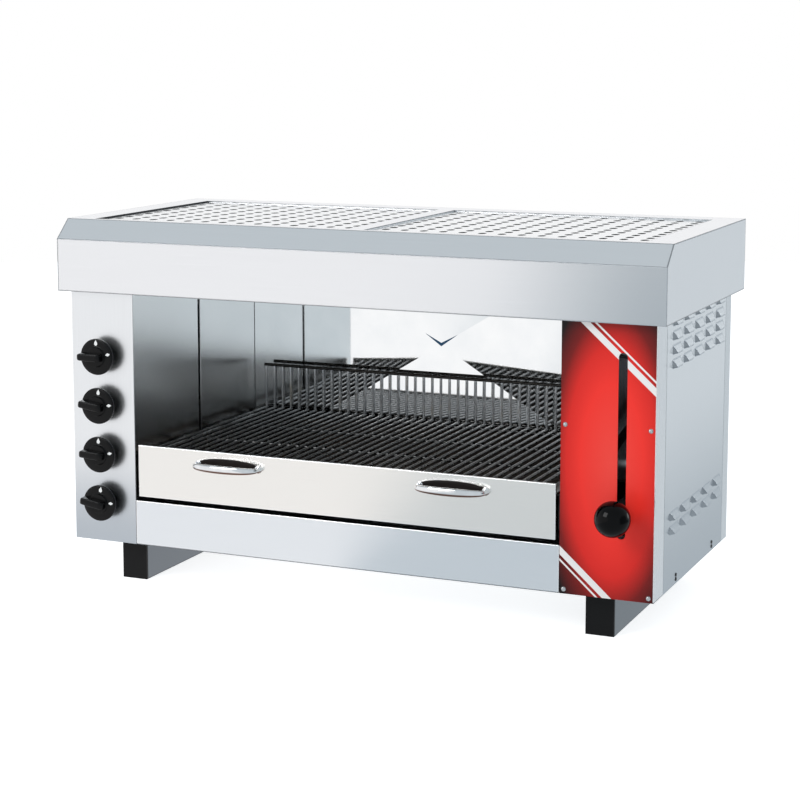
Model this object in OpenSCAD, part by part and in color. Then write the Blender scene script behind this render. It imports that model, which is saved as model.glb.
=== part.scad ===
// Gas salamander grill: a counter-top finishing grill with four radiant burners under a hood,
// a grid tray that a side lever raises towards them, and four gas knobs.
// Millimetres, +Z up, front towards -Y. Lengths inside the body are measured from the body's
// front face (Y = 0) and its underside (Z = 0), and in_body() moves them into the part's frame.

/* [Body] */
// Width of the body across its side panels
body_w = 1017; // [940:1:1100]
// Depth of the body from its front face to its back face
body_d = 443; // [430:1:470]
// Height of the body from its underside to the hood's lower edge
body_h = 425; // [415:1:450]
// Thickness of the stainless sheet
sheet = 1.5; // [1:0.1:2]
// Width of the left column, which holds the gas knobs
left_column_w = 118; // [108:1:140]
// Width of the right column, which holds the lever
right_column_w = 150; // [140:1:170]
// Length of the columns' folded returns along the sides
column_return = 50; // [40:1:60]
// Length of the rear cover's folded returns along the sides
corner_return = 34; // [25:1:36]
// How far the columns and the rear cover run up inside the hood
tuck_h = 60; // [50:1:65]
// Visible seam between neighbouring panels
seam = 0.8; // [0.5:0.1:0.9]
// Width of the folded lips along hidden panel edges
lip = 14; // [10:1:18]

/* [Hood] */
// How far the hood stands out past each side of the body
hood_side_reach = 16.5; // [10:0.5:25]
// How far the hood stands out in front of the body
hood_front_reach = 14.5; // [10:0.5:20]
// How far the hood stands out behind the body
hood_back_reach = 21.5; // [21:0.5:30]
// Height of the hood's upright front face
hood_face_h = 87.5; // [85:0.5:95]
// Height of the hood's sloping front edge
slope_rise = 31.5; // [30:0.5:38]
// Depth of the hood's sloping front edge
slope_run = 34.5; // [30:0.5:40]

/* [Top plates] */
// Width of the hood's top on each side of the plates
deck_side = 47; // [40:1:60]
// Depth of the hood's top in front of the plates
deck_front = 12; // [8:1:20]
// Depth of the hood's top behind the plates
deck_back = 43; // [35:1:60]
// Width of the bar between the two plates
deck_bar = 32; // [28:1:50]
// How far the plates lie below the hood's top
plate_drop = 3; // [2:0.5:5]
// Width of the ledge that carries the plates
ledge_w = 7; // [5:0.5:9]
// Diameter of the holes in the plates
vent_d = 11; // [8:0.5:13]
// Distance between the holes across the plates
vent_pitch_x = 33; // [28:1:40]
// Distance between the rows of holes
vent_pitch_y = 32; // [28:1:40]
// Solid border of the plates around the holes' centres
vent_border = 15; // [14:1:20]

/* [Side louvres] */
// Length of a louvre
louvre_len = 45; // [40:1:50]
// Height of a louvre
louvre_h = 13; // [10:0.5:16]
// How far a louvre stands out of the panel
louvre_out = 6; // [4:0.5:8]
// Length of a louvre's tapered ends
louvre_taper = 9; // [6:0.5:12]
// Louvres in a row
louvre_count = 5; // [3:1:5]
// Distance between louvres in a row
louvre_pitch = 65; // [60:1:66]
// Distance of the first louvre from the front face
louvre_y = 82; // [76:1:84]
// Distance between rows of louvres
louvre_row_pitch = 22; // [19:0.5:25]
// Height of the upper group's highest row
louvre_high_z = 413; // [400:1:415]
// Rows in the upper group
louvre_high_rows = 4; // [2:1:6]
// Height of the lower group's lowest row
louvre_low_z = 87; // [60:1:120]
// Rows in the lower group
louvre_low_rows = 2; // [1:1:4]
// Distance of the side rivets from the front face
rivet_front = 124; // [100:1:160]
// Distance of the side rivets from the back face
rivet_back = 99; // [80:1:130]
// Diameter of the side rivets
rivet_d = 4; // [3:0.5:5]

/* [Rear cover] */
// Height of the lower row of cooling slots
rear_vent_low = 110; // [90:1:140]
// Height of the upper row of cooling slots
rear_vent_high = 340; // [320:1:370]
// Length of a cooling slot
rear_vent_len = 60; // [40:1:75]
// Height of a cooling slot
rear_vent_h = 6; // [4:0.5:9]
// Distance between the cooling slots
rear_vent_pitch = 90; // [80:1:100]
// Distance of the corner screws from the cover's edges
corner_screw_inset = 20; // [14:1:30]
// Distance of the upper corner screws below the hood
corner_screw_drop = 40; // [20:1:80]

/* [Feet] */
// Height of the foot tubes
foot_h = 70; // [50:1:100]
// Width of the foot tubes
foot_w = 46; // [35:1:55]
// Wall of the foot tubes
foot_wall = 2; // [1.5:0.5:3]
// Distance of the feet's centres from the body's sides
foot_side = 94.5; // [60:0.5:150]
// How far the feet lie behind the front face, and in front of the back face
foot_inset = 37; // [20:1:60]
// Thickness of the visible rim of a foot's end cap
cap_rim = 4; // [3:0.5:6]
// How deep an end cap plugs into its tube
cap_plug = 18; // [10:1:25]
// Wall of an end cap's plug
cap_wall = 3; // [2:0.5:5]
// Distance of the foot bolts from the ends of the tubes
foot_bolt_inset = 60; // [45:1:100]
// Thread diameter of the foot bolts
foot_bolt_d = 8; // [6:1:10]

/* [Cooking space] */
// Depth of the back panel's folded edges, which stand off the rear cover
back_fold = 4.5; // [4:0.5:8]
// Height of the back panel's lower edge
back_low_z = 70; // [40:1:90]
// Height of the back panel's upper edge
back_high_z = 530; // [500:1:535]
// How far the crossed creases set the back panel's middle back
crease_h = 2.5; // [1:0.5:3]
// Height of the fixed panel under the tray
apron_h = 75; // [60:1:80]
// Distance of the wall slots from the front face
wall_slot_y = 225; // [215:1:235]
// Width of the wall slots
wall_slot_w = 9; // [8:0.5:12]
// Height of the wall slots' upper end
wall_slot_top = 415; // [300:1:430]
// How far the side walls run up inside the hood
wall_rise = 40; // [38:1:44]

/* [Tray] */
// Gap between the tray's front and the columns
tray_side_gap = 7; // [5:0.5:9]
// Height of the lower edge of the tray's front
tray_z = 83; // [81:0.5:84]
// Height of the tray's front
tray_front_h = 87; // [82:0.5:95]
// Depth of the folded edges of the tray's front
tray_fold = 4; // [3:0.5:6]
// Height of the pan's underside
pan_z = 96; // [95:0.5:105]
// Height of the pan's rim
rim_z = 155; // [150:0.5:158]
// Width of the pan's rim
rim_w = 20; // [18:0.5:24]
// Gap between the tray and the back panel
tray_back_gap = 7; // [5:0.5:12]

/* [Tray handles] */
// Distance between the two handles
handle_span = 396; // [300:1:480]
// Height of the handles
handle_z = 148; // [135:1:150]
// Length of a handle
handle_len = 130; // [100:1:150]
// How far a handle stands out
handle_out = 30; // [24:1:36]
// Thickness of a handle's bow
handle_bow_t = 11; // [8:0.5:13]
// Height of a handle's bow in the middle
handle_bow_h = 14; // [12:0.5:20]
// Height of a handle at its ends
handle_end_h = 3; // [2.5:0.5:6]

/* [Grid] */
// Diameter of the grid's rods and of the fence's wires
rod_d = 5; // [4:0.5:6]
// Distance between the rods
rod_pitch = 16.6; // [14:0.1:20]
// Diameter of the bars that cross under the rods
cross_d = 7; // [5:0.5:8]
// Gap between the tray's front and the grid
grid_front_gap = 9; // [8:0.5:14]
// Distance of the fence from the tray's back edge
fence_inset = 12; // [9:0.5:18]
// Height of the fence above the grid
fence_h = 78; // [50:1:90]

/* [Lift] */
// How far the tray rises
lift_travel = 113; // [80:1:116]
// Height of the lift shaft
shaft_z = 237; // [232:1:242]
// Distance of the lift shaft behind the back face
shaft_back = 9.5; // [9.5:0.1:10]
// Diameter of the lift shaft
shaft_d = 12; // [10:0.5:13]
// How far the lift shaft runs on past its outer arms
shaft_end = 14; // [12:1:16]
// Height of the shaft's bearing blocks
bearing_h = 28; // [26:1:32]
// Diameter of the arms' hubs
hub_d = 18; // [17:0.5:18.5]
// Angle of the lever below the horizontal at rest
rest_angle = 11.6; // [10.5:0.1:12.5]
// Thickness of the lift arms and of the hand lever
arm_t = 6; // [4:0.5:8]
// Height of the lift arms and of the hand lever
arm_h = 16; // [14:0.5:16.5]
// Diameter of the pins that carry the tray's hangers
pin_d = 10; // [8:0.5:12]
// Diameter of the guide rods
guide_d = 12; // [10:0.5:14]
// Distance of the guide rods outside the cooking space
guide_reach = 38; // [36:1:40]
// Outer diameter of the guide bushes
bush_d = 22; // [19:0.5:26]
// Height of the guide bushes and of the hangers' tongues
bush_h = 30; // [24:1:34]
// Height of the bushes' lower end at rest
bush_z = 97; // [92:1:100]
// Distance of the ball grip's centre in front of the body
ball_reach = 44; // [40:1:60]
// Diameter of the ball grip
ball_d = 55; // [45:1:60]
// Diameter of the stem that enters the ball
stem_d = 10; // [8:0.5:12]

/* [Control panel] */
// Offset of the lever's slot from the middle of the right column
slot_offset = 22; // [10:1:30]
// Width of the lever's slot
slot_w = 14; // [12:0.5:18]
// How far the slot runs on below the lever at rest
slot_spare = 42; // [10:1:50]
// Distance of the panel screws from the panel's edges
screw_inset = 7; // [6:0.5:12]
// Height of the upper pair of panel screws
panel_screw_z = 264; // [200:1:380]
// Diameter of the screw heads
screw_head_d = 8; // [7:0.5:10]
// Thread diameter of the screws
screw_d = 4; // [3:0.5:5]

/* [Gas knobs] */
// Height of the lowest knob
knob_z = 69; // [60:1:80]
// Distance between the knobs
knob_pitch = 83; // [76:1:84]
// Diameter of a knob's dial
knob_d = 61; // [50:1:66]
// Distance of a knob's back from the front face
knob_gap = 7; // [6:0.5:10]
// Distance of the dial's face from the front face
knob_face = 21; // [18:1:30]
// Height of the grip on the dial
grip_h = 14; // [10:1:20]
// Width of the grip
grip_w = 11; // [8:0.5:14]
// Diameter of a knob's spindle
spindle_d = 8; // [6:0.5:9]
// Push travel of a knob
knob_push = 4; // [3:0.5:5]

/* [Burners] */
// Gap between neighbouring burners
burner_gap = 12; // [8:1:30]
// Distance of the burners from the front face
burner_front = 90; // [80:1:110]
// Distance of the burners from the back panel
burner_back = 69; // [45:1:90]
// Height of the burners' lower edge above the hood's lower edge
burner_lift = 15; // [8:1:20]
// Height of the burner boxes
burner_h = 75; // [70:1:80]
// How far a burner's tile stands out below its box
tile_proud = 3; // [1:0.5:5]
// Thickness of the tiles
tile_t = 15; // [10:0.5:20]
// Width of the flat legs of the burner rails
rail_leg = 30; // [25:1:34]
// Thickness of the burner rails
rail_t = 3; // [2:0.5:4]

/* [Gas line] */
// Outer diameter of the gas manifold
manifold_d = 21.3; // [18:0.1:24]
// Distance of the manifold behind the front face
manifold_y = 70; // [66:1:75]
// Height of the gas inlet
inlet_z = 40; // [32:1:48]
// Outer diameter of the inlet's thread
inlet_d = 20.955; // [16:0.001:22]
// Length of the inlet's thread
inlet_len = 20; // [15:1:25]
// How far the inlet reaches behind the body
inlet_reach = 38; // [36:1:50]
// Outer diameter of the burner pipes
pipe_d = 8; // [6:0.5:8]

/* [Clearances] */
// Gap at rest between a moving piece and what carries it
rest_gap = 0.3; // [0.2:0.1:0.5]
// Radial clearance of shafts and rods in their bores
bore_gap = 0.05; // [0.02:0.01:0.1]
// Gap between parts that slide past each other
slide_gap = 2; // [1.5:0.5:2.5]

/* [Hidden] */
$fn = 48;
over = 1;

// Body and hood
body_x = body_w / 2;
hood_x = body_x + hood_side_reach;
hood_y0 = -hood_front_reach;
hood_y1 = body_d + hood_back_reach;
face_top = body_h + hood_face_h;
hood_top = face_top + slope_rise;
tuck_z = body_h + tuck_h;
side_y0 = column_return + seam;
side_y1 = body_d - corner_return - seam;

burner_count = 4;

// Cooking space and its centre plane
cavity_x0 = -body_x + left_column_w;
cavity_x1 = body_x - right_column_w;
cavity_mid = (cavity_x0 + cavity_x1) / 2;
half_w = (cavity_x1 - cavity_x0) / 2;
cavity_d = body_d - sheet - back_fold;
back_half = half_w - seam;
base_flange_h = 20;
wall_top = body_h + wall_rise;

// Openings in the hood's top
deck_y0 = hood_y0 + slope_run + deck_front;
deck_y1 = hood_y1 - deck_back;
deck_x0 = deck_bar / 2;
deck_x1 = hood_x - deck_side;
plate_t = sheet;
plate_gap = 0.5;
plate_z = hood_top - plate_drop;

// Tray and carriage
tray_d = cavity_d - tray_back_gap;
fence_y = tray_d - fence_inset;
tray_half = half_w - tray_side_gap;
tray_top = tray_z + tray_front_h;
rim_edge = tray_half - seam;
tub_half = rim_edge - rim_w;
rail_leg_t = 2;
rail_out = half_w - slide_gap;
rail_z = rim_z - sheet - rest_gap;
rail_y0 = tray_fold + slide_gap;
rail_y1 = tray_d - 8;
yoke_w = 24;
yoke_t = 6;
yoke_z = pan_z - 2 * slide_gap - yoke_t;
grid_y0 = grid_front_gap + sheet;
rod_z = rim_z + cross_d + rod_d / 2;
grid_half = tub_half - 3;
rod_count = 2 * floor(grid_half / rod_pitch + 0.5);

// Lift geometry
shaft_y = body_d + shaft_back;
lever_len = (shaft_y + ball_reach) / cos(rest_angle);
lift_len = (shaft_y - wall_slot_y) / cos(rest_angle);
swing = lift_travel / lift_len * 180 / PI;
top_angle = swing - rest_angle;
pin_z = shaft_z - lift_len * sin(rest_angle);
pin_rise = lift_len * (sin(rest_angle) + sin(top_angle));
pin_y_front = shaft_y - lift_len;
pin_y_back = shaft_y - lift_len * cos(max(rest_angle, top_angle));
hanger_t = 4;
hanger_x = half_w + sheet + 3;
arm_x = hanger_x + hanger_t + 11;
guide_x = half_w + guide_reach;
guide_y = wall_slot_y + 22;
hanger_top = pin_z + pin_d / 2 + 12;
guide_top = hanger_top + lift_travel + 10;
slot_x = body_x - right_column_w / 2 + slot_offset;
slot_low = shaft_z - shaft_y * tan(rest_angle) - arm_h / 2 - slot_spare;
slot_high = shaft_z + shaft_y * tan(top_angle) + arm_h / 2 / cos(top_angle) + slide_gap;
panel_t = sheet;
panel_top = body_h + 15;
shaft_reach = slot_x + shaft_end;
cover_reach = shaft_reach + 10;
cover_h = 48;
cover_flange = 12;
bearing_x = half_w - 24;
bearing_w = 18;

// Knobs, valves and gas line
knob_x = -body_x + left_column_w / 2;
spindle_front = -knob_face - 2;
spindle_back = 30;
spindle_flat = spindle_d / 2 - 1;
valve_w = 30;
valve_y0 = 10;
valve_y1 = 42;
valve_nose_d = 20;
valve_tail_d = 16;
boss_y = manifold_y - manifold_d / 2 - 2;
pipe_y = 25;
pipe_first = valve_w / 2 + 8;
pipe_pitch = pipe_d + 0.5;
pipe_low = wall_top + 13;
pipe_level = pipe_d + 2;

// Burners
burner_pitch = 2 * half_w / burner_count;
burner_w = burner_pitch - burner_gap;
burner_y0 = burner_front;
burner_y1 = cavity_d - burner_back;
burner_z = body_h + burner_lift;

// Fasteners
head_h = 2.5;
foot_len = body_d - 2 * foot_inset;
foot_x = body_x - foot_side;

// The origin lies on the floor under the middle of the overall box, which runs from the front
// of the ball grip to the end of the gas inlet
front_y = (ball_reach + ball_d / 2 - body_d - inlet_reach) / 2;

module in_body() {
    translate([0, front_y, foot_h]) children();
}

// A box given by its limits along X, Y and Z
module block(x, y, z) {
    translate([x[0], y[0], z[0]]) cube([x[1] - x[0], y[1] - y[0], z[1] - z[0]]);
}

// Round bars along X, Y and Z
module bar_x(x, y, z, d) {
    translate([x[0], y, z]) rotate([0, 90, 0]) cylinder(h = x[1] - x[0], d = d);
}

module bar_y(x, y, z, d) {
    translate([x, y[0], z]) rotate([-90, 0, 0]) cylinder(h = y[1] - y[0], d = d);
}

module bar_z(x, y, z, d) {
    translate([x, y, z[0]]) cylinder(h = z[1] - z[0], d = d);
}

// What is drawn for the right side, on the right side (1) or mirrored to the left (-1)
module on_side(side, middle = 0) {
    translate([middle, 0, 0]) mirror([side < 0 ? 1 : 0, 0, 0]) children();
}

// ---------------------------------------------------------------- hood and its plates

// The hood's outline in the Y-Z plane, inset by t and open below
function hood_outline(t) =
    let (slope_len = sqrt(slope_run * slope_run + slope_rise * slope_rise))
    [
        [hood_y0 + t, body_h - (t > 0 ? over : 0)],
        [hood_y0 + t, face_top + t * (slope_rise - slope_len) / slope_run],
        [hood_y0 + slope_run + t * (slope_len - slope_run) / slope_rise, hood_top - t],
        [hood_y1 - t, hood_top - t],
        [hood_y1 - t, body_h - (t > 0 ? over : 0)]
    ];

module hood_form(t) {
    w = hood_x - t;
    translate([-w, 0, 0]) rotate([90, 0, 90]) linear_extrude(2 * w) polygon(hood_outline(t));
}

module hood() {
    color("gainsboro") in_body() difference() {
        union() {
            difference() {
                hood_form(0);
                hood_form(sheet);
            }
            // the folded lip along the skirt's lower edge
            difference() {
                block([-hood_x, hood_x], [hood_y0, hood_y1], [body_h, body_h + sheet]);
                block([-body_x - seam, body_x + seam], [-seam, body_d + seam],
                      [body_h - over, body_h + sheet + over]);
            }
            for (side = [-1, 1]) on_side(side) plate_ledge();
        }
        for (side = [-1, 1]) on_side(side)
            block([deck_x0, deck_x1], [deck_y0, deck_y1], [plate_z - plate_t, hood_top + over]);
    }
}

// The joggled ledge around one opening in the hood's top
module plate_ledge() {
    difference() {
        block([deck_x0 - sheet, deck_x1 + sheet], [deck_y0 - sheet, deck_y1 + sheet],
              [plate_z - plate_t - sheet, hood_top - sheet]);
        block([deck_x0 + ledge_w, deck_x1 - ledge_w], [deck_y0 + ledge_w, deck_y1 - ledge_w],
              [plate_z - plate_t - sheet - over, hood_top]);
    }
}

module top_plate(side) {
    x0 = deck_x0 + plate_gap;
    x1 = deck_x1 - plate_gap;
    y0 = deck_y0 + plate_gap;
    y1 = deck_y1 - plate_gap;
    columns = floor((x1 - x0 - 2 * vent_border) / vent_pitch_x);
    rows = floor((y1 - y0 - 2 * vent_border) / vent_pitch_y);
    color("white") in_body() on_side(side) difference() {
        block([x0, x1], [y0, y1], [plate_z - plate_t, plate_z]);
        for (i = [0 : columns], j = [0 : rows])
            bar_z((x0 + x1) / 2 + (i - columns / 2) * vent_pitch_x,
                  (y0 + y1) / 2 + (j - rows / 2) * vent_pitch_y,
                  [plate_z - plate_t - over, plate_z + over], vent_d, $fn = 24);
    }
}

module left_top_plate() { top_plate(-1); }

module right_top_plate() { top_plate(1); }

// ---------------------------------------------------------------- columns and panels

// Front plate of a column from x0 to x1, its face at depth y, with the folded return along the
// outer side and a lip that stands on the base pan. outer is the side that the return is on.
module column_shell(x0, x1, y, outer) {
    block([x0, x1], [y, y + sheet], [0, tuck_z]);
    block([outer < 0 ? x0 : x1 - sheet, outer < 0 ? x0 + sheet : x1], [0, column_return],
          [0, tuck_z]);
    outer_gap = 2 * sheet + seam;
    inner_gap = sheet + seam;
    block([x0 + (outer < 0 ? outer_gap : inner_gap), x1 - (outer < 0 ? inner_gap : outer_gap)],
          [y + sheet / 2, y + sheet + lip], [sheet, 2 * sheet]);
}

function knob_height(i) = knob_z + i * knob_pitch;

module left_column() {
    color("gainsboro") in_body() difference() {
        column_shell(-body_x, cavity_x0, 0, -1);
        for (i = [0 : burner_count - 1])
            bar_y(knob_x, [-over, sheet + over], knob_height(i), spindle_d + 2 * slide_gap);
    }
}

// The lever's slot, cut from y0 to y1
module lever_slot(y0, y1, grow) {
    r = slot_w / 2 + grow;
    low = slot_low + slot_w / 2;
    high = slot_high - slot_w / 2;
    block([slot_x - r, slot_x + r], [y0, y1], [low, high]);
    for (z = [low, high]) bar_y(slot_x, [y0, y1], z, 2 * r - 0.01);
}

// The panel's four screw places
module at_panel_screws() {
    for (x = [cavity_x1 + screw_inset, body_x - sheet - screw_inset], z = [screw_inset, panel_screw_z])
        translate([x, 0, z]) children();
}

module right_column() {
    color("gainsboro") in_body() difference() {
        column_shell(cavity_x1, body_x, panel_t, 1);
        lever_slot(panel_t - over, panel_t + sheet + over, 1);
        at_panel_screws() bar_y(0, [0, panel_t + sheet + over], 0, screw_d);
    }
}

module control_panel() {
    color("crimson") in_body() difference() {
        block([cavity_x1, body_x - sheet], [0, panel_t], [0, panel_top]);
        lever_slot(-over, panel_t + over, 0);
        at_panel_screws() bar_y(0, [-over, panel_t + over], 0, screw_d);
    }
}

// A domed screw along +Y whose head rests on Y = 0, with a cross recess
module screw(len) {
    dome_r = (head_h * head_h + screw_head_d * screw_head_d / 4) / (2 * head_h);
    difference() {
        intersection() {
            bar_y(0, [-head_h, 0], 0, screw_head_d);
            translate([0, dome_r - head_h, 0]) sphere(dome_r);
        }
        for (turn = [0, 90]) rotate([0, turn, 0])
            block([-screw_head_d / 3, screw_head_d / 3], [-head_h - over, -head_h / 2], [-0.5, 0.5]);
    }
    bar_y(0, [-head_h / 4, len], 0, screw_d - 2 * bore_gap);
}

module panel_screws() {
    color("silver") in_body() at_panel_screws() screw(panel_t + 2 * sheet + 2);
}

// A wedge that widens towards its open lower edge, on the plane X = 0, from Y = 0 to len
module louvre_form(len, h, out, taper, back) {
    intersection() {
        translate([0, len, 0]) rotate([90, 0, 0]) linear_extrude(len)
            polygon([[-back, 0], [out, 0], [out, h * 0.12], [out * 0.62, h * 0.55], [0, h], [-back, h]]);
        linear_extrude(h)
            polygon([[-back, 0], [0, 0], [out, taper], [out, len - taper], [0, len], [-back, len]]);
    }
}

// Lower edges of all the louvre rows
function louvre_rows() = concat(
    [for (i = [0 : louvre_high_rows - 1]) louvre_high_z - i * louvre_row_pitch],
    [for (i = [0 : louvre_low_rows - 1]) louvre_low_z + i * louvre_row_pitch]);

module at_louvres() {
    for (z = louvre_rows(), i = [0 : louvre_count - 1])
        translate([body_x, louvre_y + i * louvre_pitch, z]) children();
}

module side_panel(side) {
    edge = body_x - sheet;
    top = hood_top - sheet;
    hem_z = base_flange_h + seam;
    color("gainsboro") in_body() on_side(side) difference() {
        union() {
            block([edge, body_x], [side_y0, side_y1], [0, top]);
            at_louvres() louvre_form(louvre_len, louvre_h, louvre_out, louvre_taper, sheet / 2);
            block([edge - lip, edge + sheet / 2], [side_y0, side_y1], [top - sheet, top]);
            for (y = [side_y0, side_y1 - sheet])
                block([edge - lip, edge + sheet / 2], [y, y + sheet], [hem_z, top]);
        }
        at_louvres() translate([0, 2 * sheet, -sheet / 2])
            louvre_form(louvre_len - 4 * sheet, louvre_h - sheet / 2, louvre_out - sheet,
                        louvre_taper - sheet, sheet + over);
        at_rivets() bar_x([-sheet - over, over], 0, 0, rivet_d);
    }
}

// Rivets that hold a side panel to the base pan's flange
module at_rivets() {
    for (y = [rivet_front, body_d - rivet_back], z = [0.35, 0.7])
        translate([body_x, y, z * base_flange_h]) children();
}

module left_side_panel() { side_panel(-1); }

module right_side_panel() { side_panel(1); }

module side_rivets() {
    color("silver") in_body() for (side = [-1, 1]) on_side(side) at_rivets() {
        bar_x([-2 * sheet - over, 0], 0, 0, rivet_d - 2 * bore_gap);
        bar_x([0, 1], 0, 0, rivet_d + 2);
    }
}

// The cover closes the back and folds round both corners
module rear_cover() {
    y0 = body_d - sheet;
    color("gainsboro") in_body() difference() {
        union() {
            block([-body_x, body_x], [y0, body_d], [0, tuck_z]);
            for (side = [-1, 1]) on_side(side)
                block([body_x - sheet, body_x], [body_d - corner_return, body_d - sheet / 2],
                      [0, tuck_z]);
        }
        // openings for the two lift arms, the hand lever and the gas inlet
        for (x = [cavity_mid - arm_x, cavity_mid + arm_x, slot_x])
            block([x - arm_t / 2 - slide_gap, x + arm_t / 2 + slide_gap], [y0 - over, body_d + over],
                  [shaft_z - hub_d / 2 - 6, shaft_z + hub_d / 2 + 6]);
        bar_y(knob_x, [y0 - over, body_d + over], inlet_z, manifold_d + slide_gap);
        // two rows of cooling slots
        for (z = [rear_vent_low, rear_vent_high], i = [-4 : 4])
            block([i * rear_vent_pitch - rear_vent_len / 2, i * rear_vent_pitch + rear_vent_len / 2],
                  [y0 - over, body_d + over], [z, z + rear_vent_h]);
        at_rear_screws() bar_y(0, [-sheet - over, over], 0, screw_d);
    }
}

// Screws of the rear cover and of the shaft cover's two flanges, on the back face
module at_rear_screws() {
    at_corner_screws() children();
    at_cover_screws() children();
}

module at_corner_screws() {
    x = body_x - corner_screw_inset;
    for (side = [-1, 1], z = [base_flange_h / 2, body_h - corner_screw_drop])
        translate([side * x, body_d, z]) children();
}

module at_cover_screws() {
    for (x = [-cover_reach + 30, 0, cover_reach - 30], s = [-1, 1])
        translate([x, body_d, shaft_z + s * (cover_h + cover_flange) / 2]) children();
}

module rear_screws() {
    color("silver") in_body() {
        at_corner_screws() rotate([0, 0, 180]) screw(sheet + 6);
        // short ones, because the cooking space's back lies close behind the cover
        at_cover_screws() translate([0, sheet, 0]) rotate([0, 0, 180]) screw(2 * sheet + rest_gap);
    }
}

// A shallow channel over the lift shaft
module shaft_cover() {
    y1 = shaft_y + hub_d / 2 + 0.5 + sheet;
    color("silver") in_body() difference() {
        union() {
            block([-cover_reach, cover_reach], [body_d, y1], [shaft_z - cover_h / 2, shaft_z + cover_h / 2]);
            block([-cover_reach, cover_reach], [body_d, body_d + sheet],
                  [shaft_z - cover_h / 2 - cover_flange, shaft_z + cover_h / 2 + cover_flange]);
        }
        block([-cover_reach + sheet, cover_reach - sheet], [body_d - over, y1 - sheet],
              [shaft_z - cover_h / 2 + sheet, shaft_z + cover_h / 2 - sheet]);
        at_cover_screws() bar_y(0, [-over, sheet + over], 0, screw_d);
    }
}

// ---------------------------------------------------------------- base and feet

module at_foot_bolts() {
    for (side = [-1, 1], y = [foot_inset + foot_bolt_inset, body_d - foot_inset - foot_bolt_inset])
        translate([side * foot_x, y, 0]) children();
}

module base_pan() {
    w = body_x - sheet;
    y0 = 2 * sheet + seam;
    y1 = body_d - sheet;
    color("silver") in_body() difference() {
        union() {
            block([-w, w], [y0, y1], [0, sheet]);
            for (side = [-1, 1]) on_side(side)
                block([w - sheet, w], [y0, y1], [0, base_flange_h]);
            block([-w, w], [y1 - sheet, y1], [0, base_flange_h]);
        }
        at_foot_bolts() bar_z(0, 0, [-over, sheet + over], foot_bolt_d + 1);
        for (side = [-1, 1]) on_side(side) at_rivets() bar_x([-2 * sheet - over, over], 0, 0, rivet_d);
        for (side = [-1, 1])
            bar_y(side * (body_x - corner_screw_inset), [y1 - sheet - over, y1 + over],
                  base_flange_h / 2, screw_d);
    }
}

module foot(side) {
    x = foot_x;
    color("lightslategray") in_body() on_side(side) difference() {
        block([x - foot_w / 2, x + foot_w / 2], [foot_inset, foot_inset + foot_len], [-foot_h, 0]);
        block([x - foot_w / 2 + foot_wall, x + foot_w / 2 - foot_wall],
              [foot_inset - over, foot_inset + foot_len + over], [-foot_h + foot_wall, -foot_wall]);
        for (y = [foot_inset + foot_bolt_inset, body_d - foot_inset - foot_bolt_inset])
            bar_z(x, y, [-foot_wall - over, over], foot_bolt_d + 1);
    }
}

module left_foot() { foot(-1); }

module right_foot() { foot(1); }

// A cap for the tube's front end, with a rim as large as the tube and a hollow plug inside it
module foot_cap() {
    plug_x = foot_w / 2 - foot_wall;
    plug_z = foot_h / 2 - foot_wall;
    difference() {
        union() {
            block([-foot_w / 2, foot_w / 2], [-cap_rim, 0], [-foot_h / 2, foot_h / 2]);
            block([-plug_x, plug_x], [-cap_rim / 2, cap_plug], [-plug_z, plug_z]);
        }
        block([-plug_x + cap_wall, plug_x - cap_wall], [0, cap_plug + over],
              [-plug_z + cap_wall, plug_z - cap_wall]);
    }
}

module foot_caps() {
    color("black") in_body() for (side = [-1, 1]) {
        translate([side * foot_x, foot_inset, -foot_h / 2]) foot_cap();
        translate([side * foot_x, body_d - foot_inset, -foot_h / 2]) mirror([0, 1, 0]) foot_cap();
    }
}

module foot_bolts() {
    color("silver") in_body() at_foot_bolts() {
        bar_z(0, 0, [-foot_wall - 14, sheet + 1], foot_bolt_d);
        translate([0, 0, sheet]) cylinder(h = 5.3, d = foot_bolt_d * 1.8, $fn = 6);
        // the nut welded under the tube's top
        translate([0, 0, -foot_wall - 6.5]) cylinder(h = 6.5, d = foot_bolt_d * 1.8, $fn = 6);
    }
}

// ---------------------------------------------------------------- cooking space

module lower_front_panel() {
    x0 = cavity_x0 + seam;
    x1 = cavity_x1 - seam;
    color("gainsboro") in_body() {
        block([x0, x1], [0, sheet], [0, apron_h]);
        block([x0, x1], [sheet / 2, sheet + lip], [sheet, 2 * sheet]);
        block([x0, x1], [sheet / 2, sheet + lip], [apron_h - sheet, apron_h]);
    }
}

// Side wall of the cooking space, with its front flange behind the column and a slot for the
// hanger. front is the depth of the column's back face, and the children are cut out too.
module cavity_wall(side, front) {
    color("silver") in_body() on_side(side, cavity_mid) difference() {
        union() {
            block([half_w, half_w + sheet], [front, body_d - 2 * sheet], [sheet, wall_top]);
            block([half_w + sheet / 2, half_w + lip], [front, front + sheet], [2 * sheet + seam, wall_top]);
        }
        block([half_w - over, half_w + sheet + over],
              [wall_slot_y - wall_slot_w / 2, wall_slot_y + wall_slot_w / 2],
              [bush_z - 6, wall_slot_top]);
        children();
    }
}

module left_cavity_wall() { cavity_wall(-1, sheet); }

module right_cavity_wall() {
    front = panel_t + sheet;
    cavity_wall(1, front) translate([-cavity_mid, 0, 0])
        at_panel_screws() bar_y(0, [front - over, front + sheet + over], 0, screw_d);
}

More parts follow.
